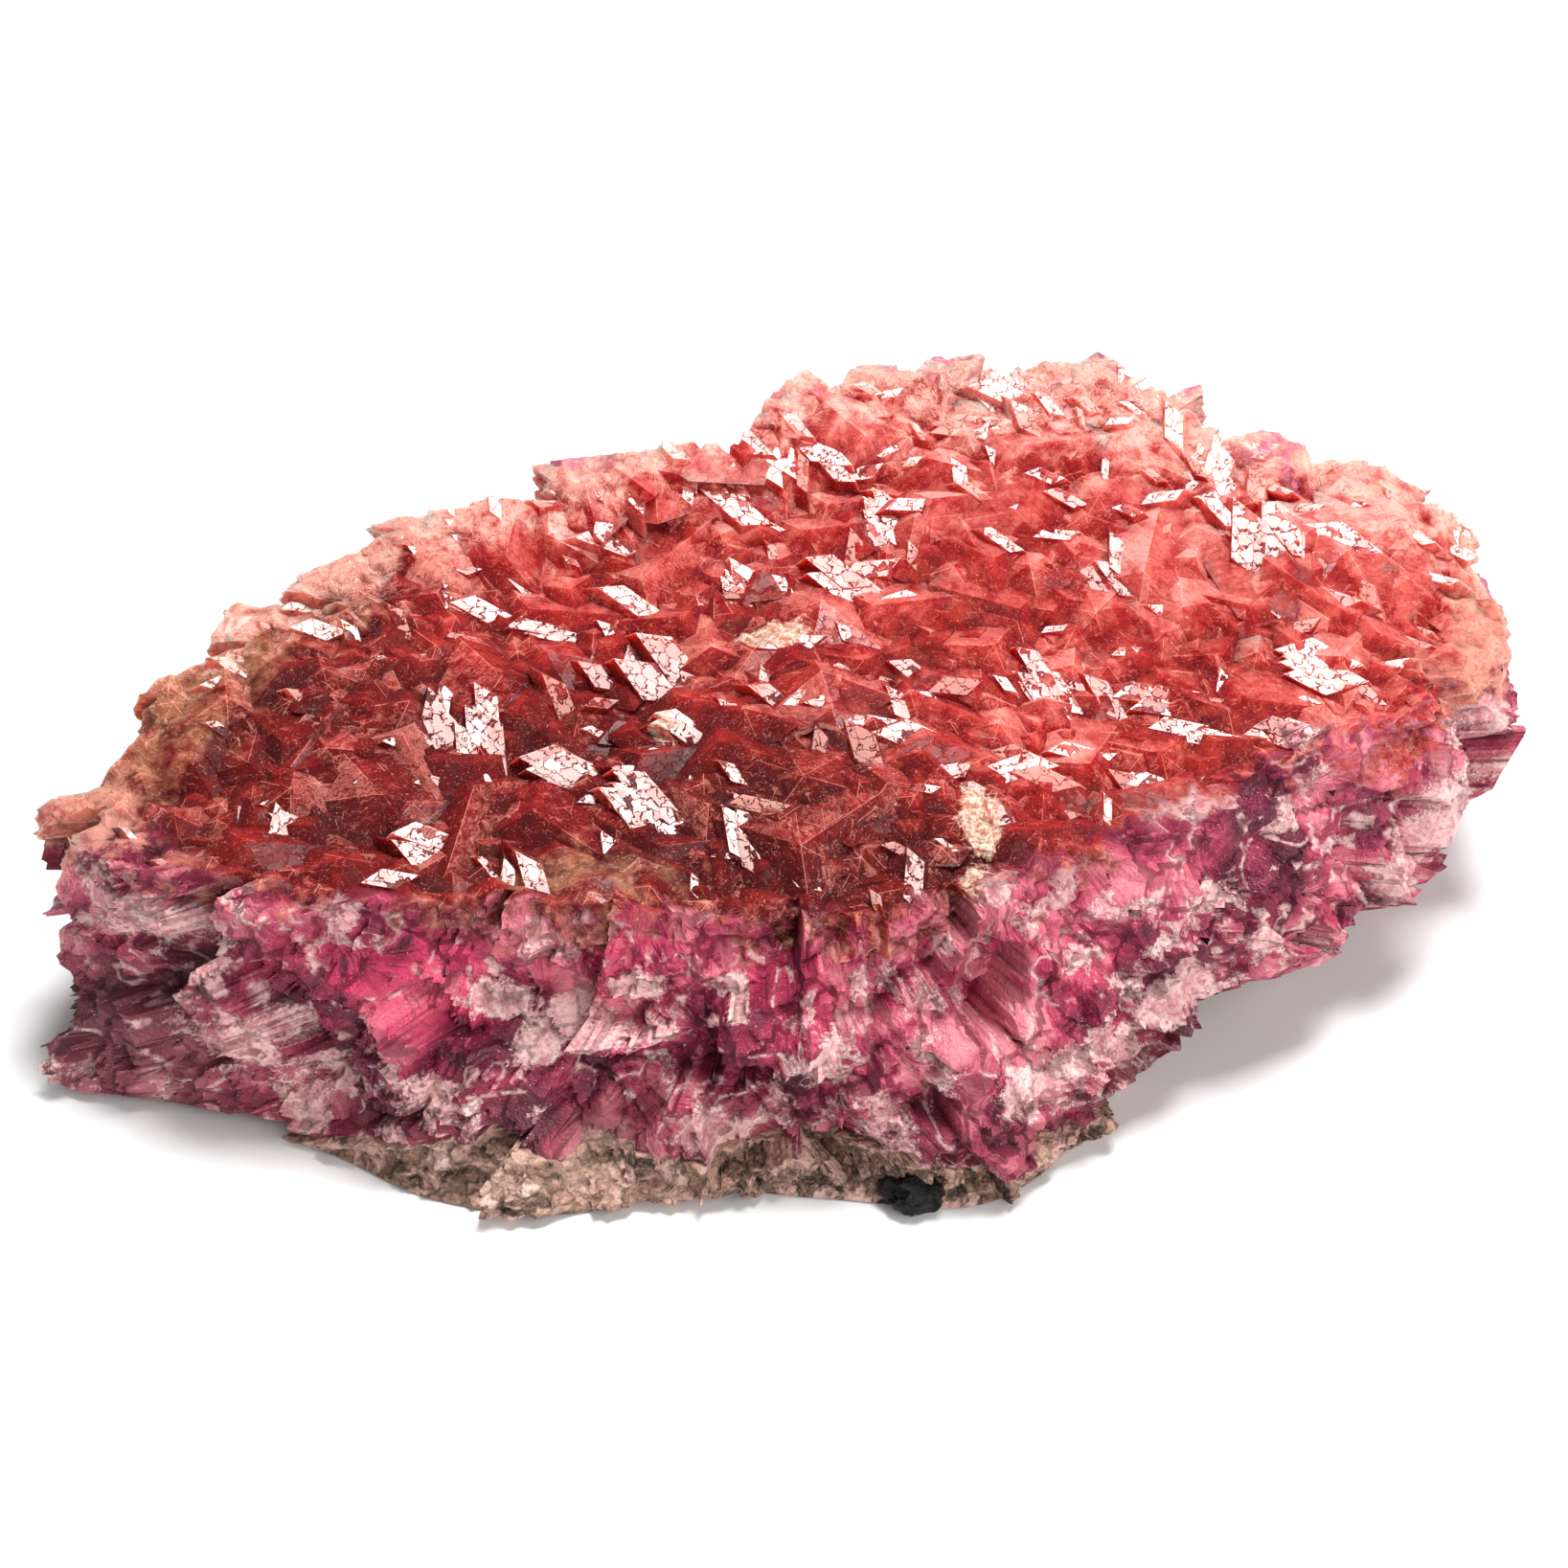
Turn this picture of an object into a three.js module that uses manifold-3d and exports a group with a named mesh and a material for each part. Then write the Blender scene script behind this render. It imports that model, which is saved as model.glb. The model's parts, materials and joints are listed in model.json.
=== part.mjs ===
// Cobaltoan calcite specimen, in millimetres, +Z up, front towards -Y, origin in the flat resting face.
// A hand-sized slab broken from a vein: red calcite crystals cover the sloping top, the broken sides show the
// pink calcite they grew from, and a skin of brown host rock with one black oxide lump lies underneath.
import * as THREE from "three";
import { mergeVertices } from "three/addons/utils/BufferGeometryUtils.js";
import Module from "manifold-3d";

const wasm = await Module();
wasm.setup();

// Driving dimensions
const CONTACT_GAP = 0.3; // between two minerals that meet
const COLUMNS_PER_STATION = 3;
const TOP_RINGS = 3;
// Rows down the side: 0 lip, 1 waist, 2 hem, 3 foot; the break starts above the lip, the mass at it
const BREAK_ROWS = [-0.5, -0.15, 0.2, 0.5, 0.8, 1.1, 1.4, 1.8, 2.3, 3];
const MASS_ROWS = [0, 1, 2, 3];
const BASE_RINGS = 1;
const CENTRE = new THREE.Vector2(0, -1);

// The broken outline, station by station from the left tip along the front, round the right tip and back.
// Each row holds the lip of the crystal face, the waist, the hem where the side turns under, and the foot.
const STATIONS = [
  [[-64, -16, 25], [-67, -18, 17], [-64, -20, 10], [-66, -21, 0]],
  [[-59, -23, 26], [-66, -22, 14], [-65, -24, 5], [-68, -26, 0]],
  [[-50, -28, 27], [-53, -28, 14], [-54, -28, 6], [-55, -28, 0]],
  [[-38, -30, 27], [-41, -32, 16], [-42, -32, 8], [-42, -33, 0]],
  [[-28, -30, 27], [-29, -34, 16], [-31, -35, 9], [-32, -39, 0]],
  [[-18, -31, 27], [-18, -35, 16], [-20, -36, 9], [-20, -41, 0]],
  [[-7, -31, 26], [-7, -36, 16], [-8, -36, 9], [-8, -38, 0]],
  [[5, -32, 26], [4, -36, 16], [4, -38, 8], [4, -39, 0]],
  [[16, -30, 27], [16, -34, 16], [17, -38, 7], [17, -40, 0]],
  [[27, -25, 28], [27, -30, 16], [27, -33, 7], [25, -34, 0]],
  [[37, -20, 28], [37, -25, 17], [36, -26, 8], [29, -25, 0]],
  [[46, -15, 28], [47, -19, 18], [45, -19, 10], [34, -15, 0]],
  [[55, -7, 29], [57, -11, 19], [56, -12, 12], [40, -7, 0]],
  [[62, 1, 29], [65, -2, 21], [64, 0, 15], [44, 1, 0]],
  [[68, 11, 28], [70, 10, 21], [67, 11, 14], [48, 9, 0]],
  [[66, 20, 32], [67, 22, 22], [62, 22, 12], [47, 17, 0]],
  [[56, 24, 34], [57, 27, 22], [53, 27, 10], [41, 24, 0]],
  [[46, 26, 37], [47, 30, 23], [44, 32, 9], [35, 29, 0]],
  [[38, 30, 40], [38, 34, 24], [35, 35, 8], [28, 32, 0]],
  [[29, 33, 41], [29, 37, 24], [27, 37, 7], [22, 34, 0]],
  [[18, 33, 41], [17, 37, 24], [16, 37, 6], [14, 35, 0]],
  [[6, 29, 42], [6, 34, 24], [5, 35, 6], [4, 33, 0]],
  [[-5, 24, 41], [-5, 29, 23], [-6, 31, 6], [-6, 30, 0]],
  [[-17, 19, 39], [-17, 25, 22], [-18, 27, 6], [-18, 26, 0]],
  [[-29, 17, 36], [-30, 22, 20], [-30, 23, 5], [-30, 22, 0]],
  [[-41, 13, 33], [-43, 17, 18], [-43, 18, 5], [-42, 17, 0]],
  [[-51, 5, 31], [-54, 9, 16], [-54, 10, 4], [-53, 9, 0]],
  [[-59, -4, 29], [-62, -3, 15], [-62, -2, 4], [-61, -3, 0]],
];

// The crystal face: a plane tilted towards the front, with broad swells [x, y, radius, height]
const CROWN = { level: 32, slopeX: 0.02, slopeY: 0.2 };
const SWELLS = [
  [22, 24, 15, 1.5],
  [-22, 4, 15, -2.5],
  [-42, -8, 12, 1.5],
  [0, -16, 14, 1.5],
  [33, -2, 14, -2.5],
  [55, 10, 10, 1.5],
];
const LIP_BLEND = 0.4; // share of the way to the centre over which the lip rises to the crown
const VALLEY = 1.2; // how far the mass under the crystals lies below their mean height
const ROOM = { above: 6, outside: 3 }; // how far the crystals reach past the break before it cuts them

// The break: flat cleavage facets, each a random tilt and step inside its own cell. Above the cliff row they run
// straight up to the crystal face.
const FACETS = { cell: 9, tilt: 0.55, step: 1.4, inset: 0.25, cliff: 0.3 };

// Crystals of the druse and of its rim: spacing of their sites, radius at the root, height over radius, how far
// their points stand above the mean height, share by which the longest are stretched
const DRUSE = { spacing: 6.6, smallest: 6.5, largest: 9.5, flat: 0.28, steep: 0.5, low: 0.5, high: 1.8, long: 0.4 };
const RIM = { spacing: 7, smallest: 4.5, largest: 6.5, flat: 0.3, steep: 0.5, low: 0.4, high: 1.1, long: 0.2 };
const JITTER = 0.6; // how far a site strays, in spacings
const CLEAR = { lip: 0.12, flat: 0.3 }; // room kept from the lip, as a share of the way in, and from flat crystals
const RIM_PLACE = 0.96; // of the way from the centre to the lip
const LENGTH_RUN = -45; // direction in degrees, seen from above, that most long crystals share
const POINTED_SHARE = 0.45; // of the crystals that are six-sided points instead of rhombohedra
const LEAN = 0.45; // most lean of a crystal over its height over radius

// Flat crystals whose broad face looks the same way: plan place, length, width, direction of the length
const BRIGHT_CRYSTALS = [
  [-11, -3, 9.6, 5.3, -57],
  [-9, -10, 5.5, 2, -37],
  [-20, -14, 7.3, 3.5, -26],
  [-13, -19, 8.6, 4.4, -52],
  [-22, 5, 6.3, 2.2, -9],
  [6, 7, 8.4, 3.5, -42],
  [9, 15, 6, 3.5, -81],
  [3, 22, 8.1, 2.7, -52],
  [-1, 21, 5.1, 2.9, -86],
  [-4, 8, 4.5, 3.5, -81],
  [-30, 14, 6.2, 2.1, -52],
  [-32, -22, 5.4, 2.9, -20],
  [-45, -20, 6.1, 2.7, -99],
  [-61, -29, 6.1, 3.6, -108],
  [24, -4, 7.8, 3.3, -62],
  [21, 29, 6.1, 4.5, -99],
  [45, 11, 9.2, 5.4, -94],
  [49, -1, 6, 4.8, -31],
  [35, -5, 7.7, 2.6, -9],
  [37, -9, 6.3, 2.2, -14],
  [40, 21, 6.1, 4.1, -108],
  [33, 31, 3.8, 3.9, -20],
  [65, 20, 5.1, 3.6, -99],
  [3, -8, 5, 3.1, -3],
  [20, -14, 5.6, 2, -156],
  [-4, -22, 7.1, 2, -81],
  [46, -9, 5.4, 2.5, -20],
  [-28, -10, 10, 3.6, -84],
  [-32, -9, 9, 2.6, -98],
];
const BRIGHT_LEAN = 0.05;
const BLOCK_DEPTH = 2;
const BLOCK_SKEW = 0.45; // sideways run of the acute corners of calcite's faces
const BLOCK_SPREAD = 1.25; // width at the root over width at the broad face

// Top of the host rock along the slab: [x, height]
const ROCK_TOP = [
  [-72, -3],
  [-56, -1],
  [-44, 1],
  [-36, 4],
  [-26, 6.5],
  [-17, 6],
  [-8, 4.5],
  [5, 5.5],
  [16, 3.5],
  [26, 3.5],
  [45, 5],
  [72, 6],
];
const ROCK_CELL = 12;

// The black oxide lump in the rock's front edge
const LUMP = { place: [11.7, -39.6, 1.3], size: [2.8, 2.3, 1.9] };

const TURN = 2 * Math.PI;
const radians = THREE.MathUtils.degToRad;
const mix = (a, b, share) => a + (b - a) * share;
const smooth = (x) => {
  const s = Math.min(1, Math.max(0, x));
  return s * s * (3 - 2 * s);
};

// A repeatable random share from 0 to 1 for a whole number and a salt
const share = (index, salt) => {
  const wave = Math.sin(index * 12.9898 + salt * 78.233) * 43758.5453;
  return wave - Math.floor(wave);
};

// Closed curves through the stations
const lines = [0, 1, 2, 3].map(
  (k) =>
    new THREE.CatmullRomCurve3(
      STATIONS.map((station) => new THREE.Vector3(...station[k])),
      true,
      "catmullrom",
      0.5,
    ),
);
const sidePoint = (t, row) => {
  const k = Math.min(2, Math.max(0, Math.floor(row)));
  return lines[k].getPoint(t).lerp(lines[k + 1].getPoint(t), row - k);
};
const outwards = (p) => new THREE.Vector3(p.x - CENTRE.x, p.y - CENTRE.y, 0).normalize();

// The lip as seen from the centre: its angle, distance and height, sorted by angle
const LIP_SAMPLES = 280;
const rim = Array.from({ length: LIP_SAMPLES }, (_, i) => {
  const p = lines[0].getPoint(i / LIP_SAMPLES);
  const out = new THREE.Vector2(p.x, p.y).sub(CENTRE);
  return [(Math.atan2(out.y, out.x) + TURN) % TURN, out.length(), p.z];
}).sort((a, b) => a[0] - b[0]);

// Distance and height of the lip in the direction of an angle
function lipAt(angle) {
  const a = (angle + TURN) % TURN;
  const k = Math.max(0, rim.findIndex((entry) => entry[0] > a));
  const before = rim[(k + rim.length - 1) % rim.length];
  const after = rim[k];
  const span = (after[0] - before[0] + TURN) % TURN;
  const s = ((a - before[0] + TURN) % TURN) / span;
  return [mix(before[1], after[1], s), mix(before[2], after[2], s)];
}

// How far in from the lip a plan point lies, 0 on the lip and 1 at the centre, and the lip's height there
function inwardOf(x, y) {
  const dx = x - CENTRE.x;
  const dy = y - CENTRE.y;
  const [reach, lipHeight] = lipAt(Math.atan2(dy, dx));
  return [1 - Math.hypot(dx, dy) / reach, lipHeight];
}

// Height of the crystal face over a plan point
function topHeight(x, y) {
  const [inward, lipHeight] = inwardOf(x, y);
  let crown = CROWN.level + CROWN.slopeX * x + CROWN.slopeY * y;
  for (const [sx, sy, radius, rise] of SWELLS)
    crown += rise * Math.exp(-((x - sx) ** 2 + (y - sy) ** 2) / radius ** 2);
  return mix(lipHeight, crown, smooth(inward / LIP_BLEND));
}

// Outward direction of the crystal face over a plan point
function topNormal(x, y) {
  const d = 2;
  const gx = (topHeight(x + d, y) - topHeight(x - d, y)) / (2 * d);
  const gy = (topHeight(x, y + d) - topHeight(x, y - d)) / (2 * d);
  return new THREE.Vector3(-gx, -gy, 1).normalize();
}

// Cleavage facets: the nearest of the jittered cell centres gives the point its plane
function facetOffset(p) {
  const { cell, tilt, step } = FACETS;
  const base = p.toArray().map((c) => Math.floor(c / cell));
  let nearest = Infinity;
  let offset = 0;
  for (let i = -1; i <= 1; i++)
    for (let j = -1; j <= 1; j++)
      for (let k = -1; k <= 1; k++) {
        const home = [base[0] + i, base[1] + j, base[2] + k];
        const key = home[0] + 57 * home[1] + 113 * home[2];
        const away = p.toArray().map((c, n) => c - (home[n] + share(key, 1 + n)) * cell);
        const distance = Math.hypot(...away);
        if (distance >= nearest) continue;
        nearest = distance;
        const lean = away.reduce((sum, a, n) => sum + a * (share(key, 4 + n) - 0.5), 0);
        offset = 2 * tilt * lean + step * (2 * share(key, 7) - 1);
      }
  return offset;
}

// A mesh geometry as a solid that can be joined and cut
function solidOf(geometry) {
  const bare = geometry.clone();
  bare.deleteAttribute("normal");
  bare.deleteAttribute("uv");
  const merged = mergeVertices(bare, 1e-4);
  return new wasm.Manifold(
    new wasm.Mesh({
      numProp: 3,
      vertProperties: new Float32Array(merged.attributes.position.array),
      triVerts: new Uint32Array(merged.index.array),
    }),
  );
}

// A joined solid as a geometry again, without the small hollows shut in between its crystals
function geometryOf(solid) {
  const { vertProperties, triVerts } = solid.getMesh();
  const link = Array.from({ length: vertProperties.length / 3 }, (_, i) => i);
  const endOf = (i) => {
    while (link[i] !== i) {
      link[i] = link[link[i]];
      i = link[i];
    }
    return i;
  };
  for (let k = 0; k < triVerts.length; k += 3) {
    link[endOf(triVerts[k])] = endOf(triVerts[k + 1]);
    link[endOf(triVerts[k + 1])] = endOf(triVerts[k + 2]);
  }
  const count = new Map();
  for (const corner of triVerts) count.set(endOf(corner), (count.get(endOf(corner)) ?? 0) + 1);
  const outer = [...count].reduce((best, entry) => (entry[1] > best[1] ? entry : best))[0];
  const geometry = new THREE.BufferGeometry();
  geometry.setAttribute("position", new THREE.BufferAttribute(vertProperties, 3));
  geometry.setIndex([...triVerts].filter((corner) => endOf(corner) === outer));
  return mergeVertices(geometry, 1e-4);
}

// A geometry from a list of points and the triangles between them
function facesOn(points, faces) {
  const geometry = new THREE.BufferGeometry();
  const coordinates = points.flatMap((p) => p.toArray());
  geometry.setAttribute("position", new THREE.Float32BufferAttribute(coordinates, 3));
  geometry.setIndex(faces);
  return geometry;
}

// A closed skin over rings of points that run anticlockwise, from the top pole down to the base pole
function skinOver(rings, topPole, basePole) {
  const columns = rings[0].length;
  const points = [topPole, ...rings.flat(), basePole];
  const last = points.length - 1;
  const at = (ring, column) => 1 + ring * columns + (column % columns);
  const faces = [];
  for (let c = 0; c < columns; c++) {
    faces.push(0, at(0, c), at(0, c + 1));
    for (let r = 0; r + 1 < rings.length; r++) {
      faces.push(at(r, c), at(r + 1, c), at(r, c + 1));
      faces.push(at(r, c + 1), at(r + 1, c), at(r + 1, c + 1));
    }
    faces.push(at(rings.length - 1, c), last, at(rings.length - 1, c + 1));
  }
  return facesOn(points, faces);
}

// A slab through the stations: its top at a height over the crystal face, its side pushed out by an offset
function slab(rows, rise, offset) {
  const columns = STATIONS.length * COLUMNS_PER_STATION;
  const around = Array.from({ length: columns }, (_, c) => c / columns);
  const rings = [];
  for (let k = 1; k < TOP_RINGS; k++)
    rings.push(
      around.map((t) => {
        const edge = sidePoint(t, rows[0]);
        const x = mix(CENTRE.x, edge.x, k / TOP_RINGS);
        const y = mix(CENTRE.y, edge.y, k / TOP_RINGS);
        return new THREE.Vector3(x, y, topHeight(x, y) + rise);
      }),
    );
  for (const row of rows) {
    const calm = smooth((3 - row) / 0.6);
    rings.push(
      around.map((t) => {
        const p = sidePoint(t, row);
        const facetAt = sidePoint(t, Math.max(row, FACETS.cliff));
        return p.addScaledVector(outwards(p), calm * offset(facetAt));
      }),
    );
  }
  for (let k = 1; k <= BASE_RINGS; k++)
    rings.push(
      around.map((t) => {
        const foot = lines[3].getPoint(t);
        const inward = k / (BASE_RINGS + 1);
        return new THREE.Vector3(mix(foot.x, CENTRE.x, inward), mix(foot.y, CENTRE.y, inward), 0);
      }),
    );
  const middle = topHeight(CENTRE.x, CENTRE.y) + rise;
  const topPole = new THREE.Vector3(CENTRE.x, CENTRE.y, middle);
  return solidOf(skinOver(rings, topPole, new THREE.Vector3(CENTRE.x, CENTRE.y, 0)));
}

// Height of the contact between rock and calcite over a plan point
function rockTop(x, y) {
  const k = Math.max(1, ROCK_TOP.findIndex((entry) => entry[0] > x));
  const [[x0, z0], [x1, z1]] = [ROCK_TOP[k - 1], ROCK_TOP[k]];
  return mix(z0, z1, (x - x0) / (x1 - x0)) + 0.8 * Math.sin(0.31 * x + 1) * Math.cos(0.23 * y);
}

// Everything below the contact, raised by a lift
function belowContact(lift) {
  const [width, depth] = [144 + ROCK_CELL, 91 + ROCK_CELL];
  const [across, along] = [Math.round(width / ROCK_CELL), Math.round(depth / ROCK_CELL)];
  const box = new THREE.BoxGeometry(width, depth, 1, across, along, 1);
  const place = box.attributes.position;
  for (let i = 0; i < place.count; i++) {
    const top = place.getZ(i) > 0;
    place.setZ(i, top ? rockTop(place.getX(i), place.getY(i)) + lift : -20);
  }
  return solidOf(box);
}

// A calcite crystal about its three-fold axis: two apexes and a zigzag ring of six corners.
// A third of the height in the zigzag makes the six faces of a rhombohedron, less makes a dog-tooth.
function zigzagCrystal(radius, height, zigzag) {
  const points = [new THREE.Vector3(0, 0, height), new THREE.Vector3(0, 0, -height)];
  const faces = [];
  for (let k = 0; k < 6; k++) {
    const [x, y] = [radius * Math.cos((k * TURN) / 6), radius * Math.sin((k * TURN) / 6)];
    points.push(new THREE.Vector3(x, y, (k % 2 ? -1 : 1) * zigzag * height));
    faces.push(0, 2 + k, 2 + ((k + 1) % 6));
    faces.push(1, 2 + ((k + 1) % 6), 2 + k);
  }
  return facesOn(points, faces);
}

// A block-shaped crystal with its broad face in the plane z = 0, skewed and wider at the root
function blockCrystal(length, width) {
  const block = new THREE.BoxGeometry(length, width, BLOCK_DEPTH).translate(0, 0, -BLOCK_DEPTH / 2);
  const place = block.attributes.position;
  for (let i = 0; i < place.count; i++) {
    const spread = place.getZ(i) < 0 ? BLOCK_SPREAD : 1;
    const [x, y] = [spread * place.getX(i), spread * place.getY(i)];
    place.setXY(i, x + BLOCK_SKEW * y, y);
  }
  return block;
}

// Turns a crystal's own axes so that +Z looks a given way and +X runs in a direction seen from above
function looking(way, run) {
  const side = new THREE.Vector3(1, 0, 0).addScaledVector(way, -way.x).normalize();
  side.applyAxisAngle(way, run);
  return new THREE.Matrix4().makeBasis(side, way.clone().cross(side), way);
}

// A direction leaning at random from a given one
function leaning(way, most, index) {
  const away = TURN * share(index, 12);
  const lean = most * Math.sqrt(share(index, 13));
  const aside = new THREE.Vector3(Math.cos(away), Math.sin(away), share(index, 19) - 0.5);
  return way.clone().addScaledVector(aside, lean).normalize();
}

// One crystal growing from the crystal face, rooted so deep that only its upper faces show
function druseCrystal(x, y, index, kind) {
  const size = mix(kind.smallest, kind.largest, share(index, 11));
  const flatness = mix(kind.flat, kind.steep, share(index, 15));
  const zigzag = share(index, 16) < POINTED_SHARE ? 1 / 8 : 1 / 3;
  const crystal = zigzagCrystal(size, size * flatness, zigzag);
  crystal.scale(1 + kind.long * share(index, 17), 1, 1);
  const run = radians(LENGTH_RUN + 120 * (share(index, 14) - 0.5));
  crystal.applyMatrix4(looking(leaning(topNormal(x, y), LEAN * flatness, index), run));
  const peak = mix(kind.low, kind.high, share(index, 18));
  return solidOf(crystal.translate(x, y, topHeight(x, y) + peak - size * flatness));
}

// One flat crystal: its broad face looks halfway between the front and the light over the middle, and is
// turned a little less towards the front the farther back it lies, as in a bent sheet
function brightCrystal([x, y, length, width, run], index) {
  const way = new THREE.Vector3(0.088 - 0.002 * x, -0.383 - 0.0012 * y, 0.92);
  const block = blockCrystal(length, width);
  block.applyMatrix4(looking(leaning(way, BRIGHT_LEAN, index), radians(run)));
  return solidOf(block.translate(x, y, topHeight(x, y) + 0.2 + 0.05 * length));
}

// Plan places of the druse crystals: a jittered honeycomb inside the lip, clear of the flat crystals
function druseSites() {
  const { spacing } = DRUSE;
  const sites = [];
  for (let j = -8; j <= 8; j++)
    for (let i = -13; i <= 13; i++) {
      const index = 400 + i + 31 * j;
      const x = (i + (j % 2 ? 0.5 : 0) + JITTER * (share(index, 21) - 0.5)) * spacing;
      const y = (0.866 * j + JITTER * (share(index, 22) - 0.5)) * spacing;
      if (inwardOf(x, y)[0] < CLEAR.lip) continue;
      if (BRIGHT_CRYSTALS.some((row) => Math.hypot(row[0] - x, row[1] - y) < CLEAR.flat * spacing)) continue;
      sites.push([x, y, index]);
    }
  return sites;
}

// Calcite: the pink mass and its crystals, grown as one piece and cut by the break
const whole = slab(BREAK_ROWS, ROOM.above, (p) => facetOffset(p) - FACETS.inset);
let calcite = slab(MASS_ROWS, -VALLEY, () => ROOM.outside);
for (const [x, y, index] of druseSites()) calcite = calcite.add(druseCrystal(x, y, index, DRUSE));
const rimCount = Math.round(lines[0].getLength() / RIM.spacing);
for (let n = 0; n < rimCount; n++) {
  const p = lines[0].getPointAt(n / rimCount);
  calcite = calcite.add(druseCrystal(RIM_PLACE * p.x, RIM_PLACE * p.y, 1000 + n, RIM));
}
BRIGHT_CRYSTALS.forEach((row, n) => {
  calcite = calcite.add(brightCrystal(row, 700 + n));
});
calcite = calcite.intersect(whole);

// Black oxide lump: a pebble set in the edge of the rock, cut level with the resting face
const pebble = new THREE.IcosahedronGeometry(1, 2);
const pebblePlace = pebble.attributes.position;
for (let i = 0; i < pebblePlace.count; i++) {
  const p = new THREE.Vector3().fromBufferAttribute(pebblePlace, i);
  const swell = 1 + 0.12 * Math.sin(5 * p.x + 2) * Math.sin(4 * p.y) + 0.08 * Math.sin(7 * p.z);
  pebblePlace.setXYZ(i, ...p.multiplyScalar(swell).toArray());
}
const pebbleGrown = (by) => {
  const [a, b, c] = LUMP.size;
  return solidOf(pebble.clone().scale(a + by, b + by, c + by).translate(...LUMP.place));
};
const aboveBase = solidOf(new THREE.BoxGeometry(200, 200, 100).translate(0, 0, 50));

const stone = (color, roughness) =>
  new THREE.MeshStandardMaterial({ color, roughness, metalness: 0, flatShading: true });
const specimen = new THREE.Group();
for (const [name, solid, material] of [
  [
    "calcite_crust",
    calcite.subtract(belowContact(CONTACT_GAP)).subtract(pebbleGrown(CONTACT_GAP)),
    stone(0xb4424c, 0.3),
  ],
  [
    "host_rock",
    whole.intersect(belowContact(0)).subtract(pebbleGrown(CONTACT_GAP)),
    stone(0x8f7565, 0.85),
  ],
  ["black_oxide_lump", pebbleGrown(0).intersect(aboveBase), stone(0x141214, 0.45)],
]) {
  const mesh = new THREE.Mesh(geometryOf(solid), material);
  mesh.name = name;
  specimen.add(mesh);
}

export default specimen;
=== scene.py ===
import json
import math

import bpy
import numpy as np
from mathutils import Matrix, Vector

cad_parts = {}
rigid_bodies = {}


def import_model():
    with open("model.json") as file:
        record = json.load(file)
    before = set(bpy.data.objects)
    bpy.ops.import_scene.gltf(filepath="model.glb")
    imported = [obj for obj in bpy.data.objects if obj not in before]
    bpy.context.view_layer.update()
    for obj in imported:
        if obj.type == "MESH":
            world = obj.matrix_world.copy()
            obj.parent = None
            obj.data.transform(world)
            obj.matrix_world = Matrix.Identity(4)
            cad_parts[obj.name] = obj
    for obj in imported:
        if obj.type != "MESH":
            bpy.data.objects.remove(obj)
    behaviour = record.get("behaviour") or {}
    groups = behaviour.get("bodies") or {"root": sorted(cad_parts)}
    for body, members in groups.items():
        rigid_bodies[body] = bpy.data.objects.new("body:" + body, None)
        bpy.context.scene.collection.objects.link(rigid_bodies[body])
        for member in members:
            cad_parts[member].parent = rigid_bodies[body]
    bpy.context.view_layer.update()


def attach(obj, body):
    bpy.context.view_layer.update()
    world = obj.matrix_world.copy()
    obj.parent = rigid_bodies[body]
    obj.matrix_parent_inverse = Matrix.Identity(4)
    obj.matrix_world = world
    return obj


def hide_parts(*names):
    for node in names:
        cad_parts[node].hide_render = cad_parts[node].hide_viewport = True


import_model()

# The calcite
# A slab of a vein, broken out all round: a pink mass, and the red crystals that cover its upper face. They
# are one mineral, grown together. The crystals are rhombohedra, six-sided points and flat blocks that grow
# through each other; the broken side is stepped by cleavage. Lengths are in millimetres up to the mesh.

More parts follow.
